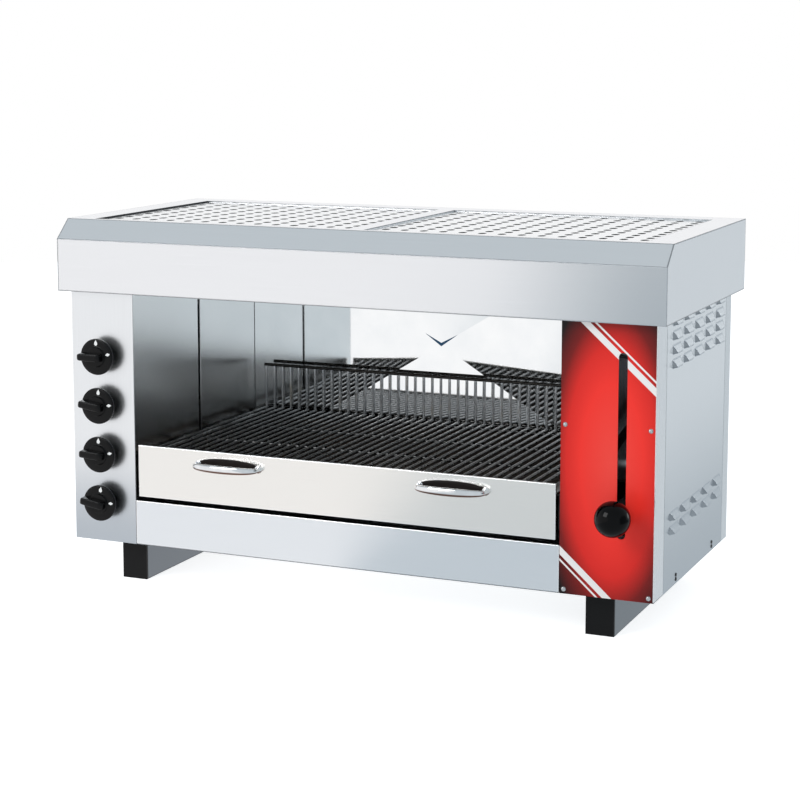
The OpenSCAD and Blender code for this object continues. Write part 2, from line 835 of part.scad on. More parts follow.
// What lies in front of a sheet that two diagonal creases set back towards its middle. y is the
// sheet's depth at its edges, and grow widens the form where it cuts.
module crease_form(y, grow) {
    mid_z = (back_low_z + back_high_z) / 2;
    intersection() {
        translate([0, 0, back_low_z - grow]) linear_extrude(back_high_z - back_low_z + 2 * grow)
            polygon([[-back_half - grow, y - over], [-back_half, y], [0, y + crease_h],
                     [back_half, y], [back_half + grow, y - over]]);
        translate([-back_half - grow, 0, 0]) rotate([90, 0, 90]) linear_extrude(2 * (back_half + grow))
            polygon([[y - over, back_low_z - grow], [y, back_low_z], [y + crease_h, mid_z],
                     [y, back_high_z], [y - over, back_high_z + grow]]);
    }
}

// The polished back, cross-broken by two diagonal creases that meet in its middle
module cavity_back() {
    color("lightgray") in_body() translate([cavity_mid, 0, 0]) {
        difference() {
            union() {
                block([-back_half, back_half], [cavity_d, cavity_d + sheet], [back_low_z, back_high_z]);
                crease_form(cavity_d + sheet, 0);
            }
            crease_form(cavity_d, over);
        }
        for (x = [-back_half, back_half - sheet])
            block([x, x + sheet], [cavity_d + sheet / 2, body_d - sheet], [back_low_z, back_high_z]);
    }
}

// ---------------------------------------------------------------- burners and gas

function burner_x(i) = cavity_x0 + (i + 0.5) * burner_pitch;

module burner(i) {
    w = burner_w / 2;
    color("dimgray") in_body() translate([burner_x(i), 0, 0]) difference() {
        union() {
            block([-w, w], [burner_y0, burner_y1], [burner_z, burner_z + burner_h]);
            block([-w, w], [burner_y0 - rail_leg + 4, burner_y1 + rail_leg - 4],
                  [wall_top + rail_t, wall_top + rail_t + sheet]);
        }
        block([-w + sheet, w - sheet], [burner_y0 + sheet, burner_y1 - sheet],
              [burner_z - over, burner_z + burner_h - sheet]);
    }
}

module burner_1() { burner(0); }

module burner_2() { burner(1); }

module burner_3() { burner(2); }

module burner_4() { burner(3); }

module burner_tiles() {
    w = burner_w / 2 - sheet;
    color("oldlace") in_body() for (i = [0 : burner_count - 1])
        translate([burner_x(i), 0, 0])
            block([-w, w], [burner_y0 + sheet, burner_y1 - sheet],
                  [burner_z - tile_proud, burner_z - tile_proud + tile_t]);
}

// Two angles across the cooking space, standing on its walls
module burner_rails() {
    x0 = cavity_x0 - sheet;
    x1 = cavity_x1 + sheet;
    front = burner_y0 - rail_leg;
    back = burner_y1 + rail_leg;
    color("silver") in_body() {
        block([x0, x1], [front, burner_y0 - seam], [wall_top, wall_top + rail_t]);
        block([cavity_x0 + seam, cavity_x1 - seam], [front, front + rail_t], [burner_z, wall_top + rail_t / 2]);
        block([x0, x1], [burner_y1 + seam, back], [wall_top, wall_top + rail_t]);
        block([cavity_x0 + seam, cavity_x1 - seam], [back - rail_t, back], [burner_z, wall_top + rail_t / 2]);
    }
}

module gas_valves() {
    color("goldenrod") in_body() for (i = [0 : burner_count - 1])
        translate([knob_x, 0, knob_height(i)]) difference() {
            union() {
                block([-valve_w / 2, valve_w / 2], [valve_y0, valve_y1], [-valve_w / 2, valve_w / 2]);
                bar_y(0, [sheet, valve_y0 + over], 0, valve_nose_d);
                bar_y(0, [valve_y1 - over, boss_y], 0, valve_tail_d);
                bar_x([valve_w / 2 - over, valve_w / 2 + 4], pipe_y, 0, pipe_d + 4);
            }
            bar_y(0, [sheet - over, spindle_back + slide_gap], 0, spindle_d + 2 * bore_gap);
        }
}

module gas_manifold() {
    top = knob_height(burner_count - 1) + valve_w;
    color("goldenrod") in_body() {
        bar_z(knob_x, manifold_y, [inlet_z, top], manifold_d);
        translate([knob_x, manifold_y, inlet_z]) sphere(d = manifold_d + 4);
        bar_y(knob_x, [manifold_y, body_d + 10], inlet_z, manifold_d - 0.5);
        for (i = [0 : burner_count - 1]) bar_y(knob_x, [boss_y, manifold_y], knob_height(i), valve_tail_d + 1);
        // the hexagon and the threaded inlet behind the rear cover
        translate([knob_x, body_d + slide_gap, inlet_z]) rotate([-90, 0, 0])
            cylinder(h = inlet_reach - inlet_len - slide_gap, d = manifold_d + 8, $fn = 6);
        bar_y(knob_x, [body_d + inlet_reach - inlet_len - over, body_d + inlet_reach], inlet_z, inlet_d);
    }
}

// One pipe per burner: out of the valve's side, up the column, across, and back into the burner
module burner_pipe(i) {
    x0 = knob_x + valve_w / 2 + 4;
    x1 = knob_x + pipe_first + pipe_pitch * (burner_count - 1 - i);
    x2 = burner_x(i);
    z0 = knob_height(i);
    z1 = pipe_low + pipe_level * i;
    bar_x([x0, x1], pipe_y, z0, pipe_d);
    bar_z(x1, pipe_y, [z0, z1], pipe_d);
    bar_x([x1, x2], pipe_y, z1, pipe_d);
    bar_y(x2, [pipe_y, burner_y0], z1, pipe_d);
    for (p = [[x1, z0], [x1, z1], [x2, z1]]) translate([p[0], pipe_y, p[1]]) sphere(d = pipe_d + 0.4);
}

module burner_pipes() {
    color("silver") in_body() for (i = [0 : burner_count - 1]) burner_pipe(i);
}

// ---------------------------------------------------------------- knobs

// A knob's own frame: its axis along +Z, outwards, with Z = 0 on the body's front face
module at_knob(i) {
    in_body() translate([knob_x, 0, knob_height(i)]) rotate([90, 0, 0]) children();
}

// The spindle's section, with one flat
module spindle_section(grow) {
    intersection() {
        circle(d = spindle_d + 2 * grow);
        translate([-spindle_d, -spindle_d]) square([spindle_d + spindle_flat + grow, 2 * spindle_d]);
    }
}

module spindle(i) {
    color("silver") at_knob(i) {
        translate([0, 0, -spindle_back]) cylinder(h = spindle_back + slide_gap, d = spindle_d);
        linear_extrude(-spindle_front) spindle_section(0);
    }
}

module spindle_1() { spindle(0); }

module spindle_2() { spindle(1); }

module spindle_3() { spindle(2); }

module spindle_4() { spindle(3); }

// A dial with a bevelled rim, a raised boss and a long pointer grip towards 9 o'clock
module knob(i) {
    r = knob_d / 2;
    boss_r = r * 0.55;
    grip_back = 10;
    color("#202022") at_knob(i) difference() {
        union() {
            rotate_extrude() polygon([
                [0, knob_gap], [r - 6, knob_gap], [r - 5, knob_gap + 1], [r - 2, knob_face - 7],
                [r, knob_face - 6], [r, knob_face - 1.5], [r - 1.5, knob_face], [boss_r, knob_face],
                [boss_r - 1.5, knob_face + 4], [0, knob_face + 4]
            ]);
            translate([-r + 1, 0, knob_face - over]) rotate([90, 0, 90])
                linear_extrude(r - 1 + grip_back)
                polygon([[-grip_w / 2 - 2.5, 0], [grip_w / 2 + 2.5, 0], [grip_w / 2, grip_h + over - 1],
                         [grip_w / 2 - 1.5, grip_h + over], [-grip_w / 2 + 1.5, grip_h + over],
                         [-grip_w / 2, grip_h + over - 1]]);
        }
        translate([0, 0, knob_gap - over]) linear_extrude(over - knob_gap - spindle_front + knob_push + 0.5)
            spindle_section(bore_gap);
    }
}

module knob_1() { knob(0); }

module knob_2() { knob(1); }

module knob_3() { knob(2); }

module knob_4() { knob(3); }

// ---------------------------------------------------------------- lift

// The lever's own frame: the shaft's axis along X through the origin, arms towards -Y
module at_shaft() {
    in_body() translate([0, shaft_y, shaft_z]) rotate([rest_angle, 0, 0]) children();
}

module lift_shaft() {
    color("gray") at_shaft() bar_x([cavity_mid - arm_x - shaft_end, shaft_reach], 0, 0, shaft_d);
}

// An arm from the shaft, thick in X, with its hub clamped round the shaft
module arm_bar(x, len) {
    difference() {
        union() {
            block([x - arm_t / 2, x + arm_t / 2], [-len, 0], [-arm_h / 2, arm_h / 2]);
            bar_x([x - arm_t / 2 - 1.5, x + arm_t / 2 + 1.5], 0, 0, hub_d);
        }
        bar_x([x - arm_t, x + arm_t], 0, 0, shaft_d + 0.02);
    }
}

module lift_arm(side) {
    color("gray") at_shaft() translate([cavity_mid, 0, 0]) {
        arm_bar(side * arm_x, lift_len);
        x = side * arm_x;
        bar_x([x - arm_t / 2, x + arm_t / 2], -lift_len, 0, arm_h + 2);
        pin = side * (hanger_x - 1);
        bar_x([min(x, pin), max(x, pin)], -lift_len, 0, pin_d);
    }
}

module left_lift_arm() { lift_arm(-1); }

module right_lift_arm() { lift_arm(1); }

module hand_lever() {
    bar_end = lever_len - ball_reach + 6;
    color("#2a2a2c") at_shaft() {
        arm_bar(slot_x, bar_end);
        translate([slot_x, 0, 0]) {
            bar_y(0, [-lever_len, -bar_end + 3], 0, stem_d);
            bar_y(0, [-bar_end - 5, -bar_end], 0, stem_d + 3);
        }
    }
}

// A turned ball with a flat towards the lever and a blind bore for the stem
module ball_grip() {
    r = ball_d / 2;
    bore_r = stem_d / 2 + 0.01;
    color("black") at_shaft() translate([slot_x, -lever_len, 0]) rotate([-90, 0, 0])
        rotate_extrude($fn = 96) difference() {
            intersection() {
                circle(r);
                translate([0, -r]) square([r, 2 * r - 3]);
            }
            square([bore_r, r]);
        }
}

// Bearing blocks on the back face, round the shaft
module shaft_bearing(side) {
    x = side * bearing_x;
    top = hub_d / 2;
    color("silver") in_body() translate([cavity_mid, 0, 0]) difference() {
        block([x - bearing_w / 2, x + bearing_w / 2], [body_d, shaft_y + top],
              [shaft_z - bearing_h / 2, shaft_z + bearing_h / 2]);
        bar_x([x - bearing_w, x + bearing_w], shaft_y, shaft_z, shaft_d + 2 * bore_gap);
    }
}

module left_shaft_bearing() { shaft_bearing(-1); }

module right_shaft_bearing() { shaft_bearing(1); }

// A guide rod on the base pan, with a stop collar and a bracket to the cavity wall at its top
module guide_rod(side) {
    color("gray") in_body() on_side(side, cavity_mid) {
        bar_z(guide_x, guide_y, [sheet, guide_top + over], guide_d);
        bar_z(guide_x, guide_y, [sheet, sheet + 4], bush_d + 6);
        bar_z(guide_x, guide_y, [bush_z - rest_gap - 8, bush_z - rest_gap], bush_d - 3);
        block([half_w + sheet, guide_x + guide_d / 2 + 2], [guide_y - 10, guide_y + 10],
              [guide_top, guide_top + 3]);
    }
}

module left_guide_rod() { guide_rod(-1); }

module right_guide_rod() { guide_rod(1); }

// Hanger: a tongue through the wall's slot, a plate that hangs on the arm's pin, and a bush
module hanger(side) {
    tongue_t = wall_slot_w - 2 * slide_gap;
    pin_r = pin_d / 2;
    color("gray") in_body() on_side(side, cavity_mid) difference() {
        union() {
            block([rail_out, hanger_x + over], [wall_slot_y - tongue_t / 2, wall_slot_y + tongue_t / 2],
                  [bush_z, bush_z + bush_h]);
            block([hanger_x, hanger_x + hanger_t], [pin_y_front - 18, guide_y + 8],
                  [bush_z, hanger_top]);
            block([hanger_x, guide_x], [guide_y - 6, guide_y + 6], [bush_z, bush_z + bush_h]);
            bar_z(guide_x, guide_y, [bush_z, bush_z + bush_h], bush_d);
        }
        bar_z(guide_x, guide_y, [bush_z - over, bush_z + bush_h + over], guide_d + 2 * bore_gap);
        block([hanger_x - over, hanger_x + hanger_t + over],
              [pin_y_front - pin_r - 0.6, pin_y_back + pin_r + 0.6],
              [pin_z - pin_r - (lift_travel - pin_rise) - 0.6, pin_z + pin_r + rest_gap]);
    }
}

module left_hanger() { hanger(-1); }

module right_hanger() { hanger(1); }

// A flat bar under the pan with an upright at each end, which ties the two rails together
module carriage_yoke() {
    x = rail_out - rail_leg_t;
    color("gray") in_body() translate([cavity_mid, 0, 0]) {
        block([-x, x], [wall_slot_y - yoke_w / 2, wall_slot_y + yoke_w / 2], [yoke_z, yoke_z + yoke_t]);
        for (side = [-1, 1]) on_side(side)
            block([x - 3, x], [wall_slot_y - yoke_w / 2, wall_slot_y + yoke_w / 2],
                  [yoke_z, rail_z - rail_leg_t - slide_gap]);
    }
}

// An angle along the cavity wall: the pan's rim slides on its level leg
module tray_rail(side) {
    color("gray") in_body() on_side(side, cavity_mid) {
        block([rail_out - rail_leg_t, rail_out], [rail_y0, rail_y1], [bush_z, rail_z]);
        block([tub_half + 4, rail_out - rail_leg_t / 2], [rail_y0, rail_y1], [rail_z - rail_leg_t, rail_z]);
    }
}

module left_tray_rail() { tray_rail(-1); }

module right_tray_rail() { tray_rail(1); }

// ---------------------------------------------------------------- tray

module tray_pan() {
    y0 = sheet;
    tub_y1 = tray_d - rim_w / 2;
    color("#3a3634") in_body() translate([cavity_mid, 0, 0]) difference() {
        union() {
            block([-tub_half, tub_half], [y0, tub_y1], [pan_z, rim_z]);
            block([-rim_edge, rim_edge], [y0, tray_d], [rim_z - sheet, rim_z]);
        }
        block([-tub_half + sheet, tub_half - sheet], [y0 + sheet, tub_y1 - sheet],
              [pan_z + sheet, rim_z + over]);
        at_studs() bar_y(0, [0, y0 + sheet + over], handle_z, screw_d);
    }
}

module tray_front() {
    color("gainsboro") in_body() translate([cavity_mid, 0, 0]) difference() {
        block([-tray_half, tray_half], [0, tray_fold], [tray_z, tray_top]);
        block([-tray_half + sheet, tray_half - sheet], [sheet, tray_fold + over],
              [tray_z + sheet, tray_top - sheet]);
        // the rim and the tub of the pan butt against the back of the front plate
        block([-rim_edge - seam, rim_edge + seam], [sheet, tray_fold + over],
              [rim_z - 2 * sheet, rim_z + sheet]);
        at_studs() bar_y(0, [-over, sheet + over], handle_z, screw_d);
    }
}

// The studs of both handles
module at_studs() {
    for (side = [-1, 1]) translate([side * handle_span / 2, 0, 0]) at_handle_feet() children();
}

module at_handle_feet() {
    for (side = [-1, 1]) translate([side * (handle_len / 2 - 9), 0, 0]) children();
}

// The circle through (-w, 0) and (w, 0) that bulges by out towards -Y
function bow_radius(w, out) = (w * w + out * out) / (2 * out);

module bow_disc(w, out) {
    r = bow_radius(w, out);
    translate([0, r - out]) circle(r, $fn = 180);
}

// A bow handle: a crescent seen from above and a lens seen from the front, with two threaded
// studs that pass through the tray's front
module handle(side) {
    w = handle_len / 2;
    lens_h = handle_bow_h / 2;
    lens_r = bow_radius(w, (handle_bow_h - handle_end_h) / 2);
    color("silver") in_body() translate([cavity_mid + side * handle_span / 2, 0, 0]) {
        intersection() {
            translate([0, 0, handle_z - lens_h]) linear_extrude(2 * lens_h) difference() {
                intersection() {
                    bow_disc(w, handle_out);
                    translate([-w - over, -handle_out - over])
                        square([2 * (w + over), handle_out + over]);
                }
                bow_disc(w - 14, handle_out - handle_bow_t);
            }
            translate([0, over, handle_z]) rotate([90, 0, 0]) linear_extrude(handle_out + 2 * over)
                intersection() {
                    translate([0, lens_h - lens_r]) circle(lens_r, $fn = 180);
                    translate([0, lens_r - lens_h]) circle(lens_r, $fn = 180);
                }
        }
        at_handle_feet() bar_y(0, [-over, sheet + 5], handle_z, screw_d - 2 * bore_gap);
    }
}

module left_handle() { handle(-1); }

module right_handle() { handle(1); }

function rod_x(i) = (i - (rod_count - 1) / 2) * rod_pitch;

// The grid's rods, from front to back
module grid_rods() {
    color("#2c2c2e") in_body() translate([cavity_mid, 0, 0]) for (i = [0 : rod_count - 1])
        bar_y(rod_x(i), [grid_y0, fence_y + rod_d / 2], rod_z, rod_d);
}

// Four bars under the rods, welded to them, that rest on the pan's rim
module grid_bars() {
    bar_half = rim_edge - 4;
    bar_first = grid_y0 + cross_d / 2;
    bar_last = fence_y - cross_d;
    color("#2c2c2e") in_body() translate([cavity_mid, 0, 0]) for (i = [0 : 3])
        bar_x([-bar_half, bar_half], bar_first + i * (bar_last - bar_first) / 3, rim_z + cross_d / 2, cross_d);
}

// Upright wires along the grid's back edge under one rail
module grid_fence() {
    z0 = rod_z + rod_d / 2;
    z1 = z0 + fence_h;
    color("silver") in_body() translate([cavity_mid, 0, 0]) {
        for (i = [0 : rod_count - 1]) bar_z(rod_x(i), fence_y, [z0, z1], rod_d);
        bar_x([rod_x(0) - rod_d / 2 - 1, rod_x(rod_count - 1) + rod_d / 2 + 1], fence_y, z1, rod_d + 1);
    }
}

hood();
left_top_plate();
right_top_plate();
left_column();
right_column();
control_panel();
panel_screws();
left_side_panel();
right_side_panel();
side_rivets();
rear_cover();
rear_screws();
shaft_cover();
base_pan();
left_foot();
right_foot();
foot_caps();
foot_bolts();
lower_front_panel();
left_cavity_wall();
right_cavity_wall();
cavity_back();
left_guide_rod();
right_guide_rod();
left_shaft_bearing();
right_shaft_bearing();
lift_shaft();
left_lift_arm();
right_lift_arm();
hand_lever();
ball_grip();
left_hanger();
right_hanger();
carriage_yoke();
left_tray_rail();
right_tray_rail();
tray_pan();
tray_front();
left_handle();
right_handle();
grid_rods();
grid_bars();
grid_fence();
knob_1();
knob_2();
knob_3();
knob_4();
spindle_1();
spindle_2();
spindle_3();
spindle_4();
gas_valves();
gas_manifold();
burner_pipes();
burner_1();
burner_2();
burner_3();
burner_4();
burner_tiles();
burner_rails();
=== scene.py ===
import math

import bmesh
import bpy
from mathutils import Matrix, Vector


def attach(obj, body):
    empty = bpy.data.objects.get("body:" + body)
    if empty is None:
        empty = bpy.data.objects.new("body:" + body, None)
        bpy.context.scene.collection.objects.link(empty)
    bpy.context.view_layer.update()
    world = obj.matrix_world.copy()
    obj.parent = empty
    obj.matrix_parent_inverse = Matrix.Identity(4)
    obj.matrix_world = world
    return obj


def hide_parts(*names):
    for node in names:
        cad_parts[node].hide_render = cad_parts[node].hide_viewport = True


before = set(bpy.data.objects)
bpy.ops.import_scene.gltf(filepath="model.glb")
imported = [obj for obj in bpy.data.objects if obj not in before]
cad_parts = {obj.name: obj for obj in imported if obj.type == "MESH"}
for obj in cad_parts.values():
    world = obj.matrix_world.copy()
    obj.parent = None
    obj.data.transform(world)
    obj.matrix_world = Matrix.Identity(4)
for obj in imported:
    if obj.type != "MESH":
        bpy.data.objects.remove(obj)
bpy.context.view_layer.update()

# ------------------------------------------------------------------------------------ camera
# A long lens at counter height, to the right of the front and a little above the hood. It looks
# slightly down, and its film is shifted so that the whole grill is in the frame.
camera_place = (1.30932, -3.03210, 0.92062)
# radians, downward from level and leftward from straight at the front
camera_tilt = 0.1326
camera_turn = 0.4079
lens_mm = 89.6
film_mm = 36
# shares of the film's width, to the right and upward
film_shift = (0.0037, -0.125)

camera = bpy.data.objects.new("camera", bpy.data.cameras.new("camera"))
camera.data.sensor_width = film_mm
camera.data.lens = lens_mm
camera.data.shift_x, camera.data.shift_y = film_shift
camera.location = camera_place
camera.rotation_euler = (math.pi / 2 - camera_tilt, 0, camera_turn)
bpy.context.scene.collection.objects.link(camera)
bpy.context.scene.camera = camera
bpy.context.scene.view_settings.view_transform = "Standard"

# ------------------------------------------------------------------------------------ studio
# A white sweep of paper under the grill, a room round it that steel can reflect, and one soft
# lamp. The room is white on the left and grey on the right, and dark far out to the right.
paper_colour = "#EBEBEB"
paper_glow = 0.74
paper_tooth_mm = 3.33
floor_radius = 5.0
room_white = "#FBFBFC"
room_grey = "#D2D9DE"
room_ceiling = "#C6CED3"
room_dark = "#858D93"
# where these tones start and where they are full, as parts of a direction
white_start, white_full = -0.16, -0.30
dark_start, dark_full = 0.86, 0.93
ceiling_start, ceiling_full = 0.25, 0.70
# the white part reaches further round behind the grill than in front of it
white_behind = -0.25
# distances on the paper at which polished metal starts to see the dark part in it, and sees all
dim_start, dim_full = 1.0, 1.3
# a small window far to the right puts a glint on whatever is polished and round: its direction,
# and the cosines of the angles at which it starts and is full
window_way = Vector((0.66, 0.74, 0.10)).normalized()
window_rim, window_full = 0.985, 0.992
window_light = (3, 3, 3, 1)
lamp_place = Vector((-1.9, -3.2, 2.8))
lamp_aim = Vector((0, 0, 0.3))
lamp_watts = 64
lamp_size = 2.0


def linear(colour):
    """An sRGB hex colour as linear red, green, blue and alpha."""
    parts = [int(colour[i:i + 2], 16) / 255 for i in (1, 3, 5)]
    return [c / 12.92 if c <= 0.04045 else ((c + 0.055) / 1.055) ** 2.4 for c in parts] + [1]


def connect(owner, node, inputs):
    """Sets each input of a node to a value, or links it to a socket or a node's first output."""
    for name, value in inputs.items():
        if isinstance(name, int):
            socket = node.inputs[name]
        else:
            socket = next(s for s in node.inputs if s.enabled and s.name == name)
        if isinstance(value, bpy.types.Node):
            value = next(s for s in value.outputs if s.enabled)
        if isinstance(value, bpy.types.NodeSocket):
            owner.node_tree.links.new(value, socket)
        else:
            socket.default_value = value


def add_node(owner, kind, inputs=None, stops=(), **settings):
    """Adds a node with its settings, values and links. Stops are a colour ramp's places and colours."""
    node = owner.node_tree.nodes.new("ShaderNode" + kind)
    for name, value in settings.items():
        setattr(node, name, value)
    for number, (place, colour) in enumerate(stops):
        if number >= len(node.color_ramp.elements):
            node.color_ramp.elements.new(1.0)
        node.color_ramp.elements[number].position = place
        node.color_ramp.elements[number].color = linear(colour)
    connect(owner, node, inputs or {})
    return node


def room_tone(owner, way, far):
    """What the room shows in a direction. The dark part on the right shows only where far is 1."""
    part = add_node(owner, "SeparateXYZ", {"Vector": way}).outputs
    behind = add_node(owner, "Math", {0: part["Y"], 1: 0.0}, operation="MAXIMUM")
    side = add_node(owner, "Math", {0: behind, 1: white_behind, 2: part["X"]}, operation="MULTIPLY_ADD")
    left = add_node(owner, "MapRange", {"Value": side, "From Min": white_start, "From Max": white_full})
    right = add_node(owner, "MapRange", {"Value": part["X"], "From Min": dark_start, "From Max": dark_full})
    beyond = add_node(owner, "Math", {0: right, 1: far}, operation="MULTIPLY")
    high = add_node(owner, "MapRange", {"Value": part["Z"], "From Min": ceiling_start,
                                        "From Max": ceiling_full})
    tone = linear(room_grey)
    for share, colour in ((left, room_white), (beyond, room_dark), (high, room_ceiling)):
        tone = add_node(owner, "Mix", {"Factor": share, "A": tone, "B": linear(colour)}, data_type="RGBA")
    return tone


room = bpy.data.worlds.new("room")
bpy.context.scene.world = room
room.use_nodes = True
room.node_tree.nodes.clear()
seen = add_node(room, "LightPath").outputs
way = add_node(room, "TexCoord").outputs["Generated"]
window = add_node(room, "VectorMath", {0: way, 1: window_way}, operation="DOT_PRODUCT")
window = add_node(room, "MapRange", {"Value": window, "From Min": window_rim, "From Max": window_full})
walls = add_node(room, "Mix", {"Factor": window, "A": room_tone(room, way, 1.0), "B": window_light},
                 data_type="RGBA")
room_light = add_node(room, "Background", {"Color": walls, "Strength": 1.0})
backdrop = add_node(room, "Background", {"Color": (1, 1, 1, 1), "Strength": 1.0})
room_view = add_node(room, "MixShader", {0: seen["Is Camera Ray"], 1: room_light, 2: backdrop})
add_node(room, "OutputWorld", {"Surface": room_view})

# The paper keeps the grill's shadow. To the eye it is lit up to white, and polished metal sees
# it in the room's own tones.
paper = bpy.data.materials.new("white_paper_sweep")
paper.use_nodes = True
paper.node_tree.nodes.clear()
seen = add_node(paper, "LightPath").outputs
place = add_node(paper, "TexCoord").outputs["Object"]
direct = add_node(paper, "Math", {0: seen["Is Camera Ray"], 1: seen["Is Transmission Ray"]},
                  operation="MAXIMUM")
glow = add_node(paper, "Math", {0: direct, 1: paper_glow}, operation="MULTIPLY")
flecks = add_node(paper, "TexNoise", {"Vector": place, "Scale": 1000 / paper_tooth_mm, "Detail": 2})
tooth = add_node(paper, "Bump", {"Height": flecks, "Strength": 0.03, "Distance": 0.0005})
paper_face = add_node(paper, "BsdfDiffuse", {"Color": linear(paper_colour), "Normal": tooth})
paper_light = add_node(paper, "Emission", {"Color": (1, 1, 1, 1), "Strength": glow})
paper_seen = add_node(paper, "AddShader", {0: paper_face, 1: paper_light})
outward = add_node(paper, "VectorMath", {0: place}, operation="NORMALIZE")
distance = add_node(paper, "VectorMath", {0: place}, operation="LENGTH")
far = add_node(paper, "MapRange", {"Value": distance, "From Min": dim_start, "From Max": dim_full})
mirrored = add_node(paper, "Emission", {"Color": room_tone(paper, outward, far), "Strength": 1.0})
paper_view = add_node(paper, "MixShader", {0: seen["Is Glossy Ray"], 1: paper_seen, 2: mirrored})
add_node(paper, "OutputMaterial", {"Surface": paper_view})

floor_shape = bmesh.new()
bmesh.ops.create_circle(floor_shape, cap_ends=True, segments=96, radius=floor_radius)
floor_mesh = bpy.data.meshes.new("floor")
floor_shape.to_mesh(floor_mesh)
floor_shape.free()
floor_mesh.materials.append(paper)
floor = bpy.data.objects.new("floor", floor_mesh)
bpy.context.scene.collection.objects.link(floor)

lamp = bpy.data.objects.new("soft_box", bpy.data.lights.new("soft_box", "AREA"))
lamp.data.energy = lamp_watts
lamp.data.size = lamp_size
lamp.location = lamp_place
lamp.rotation_euler = (lamp_aim - lamp_place).to_track_quat("-Z", "Y").to_euler()
bpy.context.scene.collection.objects.link(lamp)

# ------------------------------------------------------------------------- base pan and bolts
# The base pan is folded from zinc-plated sheet and carries everything else. Plating is grey
# and half matt, with a faint mottled bloom.
zinc_tones = [(0.05, "#A9ADB1"), (0.5, "#C3C7CA")]
bloom_mm = 9
zinc_cloud_mm = 71.4


def surface(material, **inputs):
    """Sets or links inputs of a material's shader, with _ in a name for each space."""
    shader = material.node_tree.nodes["Principled BSDF"]
    connect(material, shader, {name.replace("_", " "): value for name, value in inputs.items()})


def new_material(name, **inputs):
    """A material whose shader has these inputs."""
    material = bpy.data.materials.new(name)
    material.use_nodes = True
    surface(material, **inputs)
    return material


def dress(material, *names):
    """Gives CAD nodes this material."""
    for name in names:
        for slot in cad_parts[name].material_slots:
            slot.material = material


zinc = new_material("zinc_plated_sheet", Metallic=1.0)
place = add_node(zinc, "TexCoord").outputs["Object"]
bloom = add_node(zinc, "TexVoronoi", {"Vector": place, "Scale": 1000 / bloom_mm}, feature="SMOOTH_F1")
clouds = add_node(zinc, "TexNoise", {"Vector": place, "Scale": 1000 / zinc_cloud_mm, "Detail": 3})
mottle = add_node(zinc, "Math", {0: bloom, 1: clouds}, operation="MULTIPLY")
surface(zinc, Base_Color=add_node(zinc, "ValToRGB", {"Fac": mottle}, stops=zinc_tones),
        Roughness=add_node(zinc, "MapRange", {"Value": clouds, "To Min": 0.30, "To Max": 0.46}))
dress(zinc, "base_pan", "foot_bolts", "shaft_cover")

# ------------------------------------------------------------------------------ feet and caps
# Two rectangular steel tubes lie from front to back under the base pan, satin ground along
# their length. Each end is closed by a pressed-in black cap of moulded polypropylene.
# painted shade: the tubes are a darker grey than the sheet, for the shade under the base pan; painted
# highlight on their edges
shaded_tube_colour = "#747A80"
tube_edge_highlight = "#B4BAC0"
cap_colour = "#0B0B0C"
cap_grit_mm = 0.9
# moulded plastic is rubbed smoother and rougher in patches of this size
handled_mm = 22.2
# axes along which sheet is ground
sideways, lengthwise, upright = range(3)
# grinding lines lie about 0.4 mm apart, and are drawn wider so that they show
line_mm = 2.2
stroke_mm = 130
# how dark the lines are, and how much they and the clouds vary the roughness
line_shade = 0.93
line_rough = 0.05
steel_cloud_mm = 167
cloud_rough = 0.03
# radius of a fold, and how far round it the edge's painted highlight or shade reaches, in metres
fold_radius = 0.0016
edge_paint_reach = 0.003
# edges lower than this are painted darker still, as shade
edge_shade_height = 0.0718
edge_shade_colour = "#4C5156"


def near_edge(material):
    """A mask of the strip along a sheet's folds and cut edges, where a highlight or shade is painted."""
    face = add_node(material, "NewGeometry").outputs["True Normal"]
    rounded = add_node(material, "Bevel", {"Radius": edge_paint_reach}, samples=6)
    bend = add_node(material, "VectorMath", {0: rounded, 1: face}, operation="DOT_PRODUCT")
    return add_node(material, "MapRange", {"Value": bend, "From Min": 0.997, "From Max": 0.975})


def satin_steel(name, colour, grain, roughness=0.2, painted_edge=None):
    """Ground stainless sheet with its grain along an axis, and a highlight or shade of another colour
    painted along its edges, with painted shade on the lowest ones.
    """
    material = new_material(name, Metallic=1.0)
    place = add_node(material, "TexCoord").outputs["Object"]
    stretch = [1000 / line_mm] * 3
    stretch[grain] = 1000 / stroke_mm
    drawn = add_node(material, "Mapping", {"Vector": place, "Scale": stretch})
    lines = add_node(material, "TexNoise", {"Vector": drawn, "Scale": 1.0, "Detail": 4, "Roughness": 0.65})
    clouds = add_node(material, "TexNoise", {"Vector": place, "Scale": 1000 / steel_cloud_mm, "Detail": 3})
    dull = [part * line_shade for part in linear(colour)[:3]] + [1]
    tone = add_node(material, "Mix", {"Factor": lines, "A": dull, "B": linear(colour)}, data_type="RGBA")
    scratched = add_node(material, "MapRange", {"Value": lines, "To Min": roughness - line_rough,
                                                "To Max": roughness + line_rough})
    cloudy = add_node(material, "MapRange", {"Value": clouds, "To Min": -cloud_rough, "To Max": cloud_rough})
    rough = add_node(material, "Math", {0: scratched, 1: cloudy}, operation="ADD")
    fold = add_node(material, "Bevel", {"Radius": fold_radius}, samples=6)
    relief = add_node(material, "Bump", {"Height": lines, "Strength": 0.10, "Distance": 0.0004,
                                         "Normal": fold})
    # painted highlight or shade along the edges, and painted shade on edges below the given height
    if painted_edge:
        height = add_node(material, "SeparateXYZ", {"Vector": place}).outputs["Z"]
        low = add_node(material, "Math", {0: height, 1: edge_shade_height}, operation="LESS_THAN")
        painted_edge_tone = add_node(material, "Mix", {"Factor": low, "A": linear(painted_edge), "B": linear(edge_shade_colour)},
                             data_type="RGBA")
        tone = add_node(material, "Mix", {"Factor": near_edge(material), "A": tone, "B": painted_edge_tone},
                        data_type="RGBA")
    surface(material, Base_Color=tone, Roughness=rough, Normal=relief)
    return material


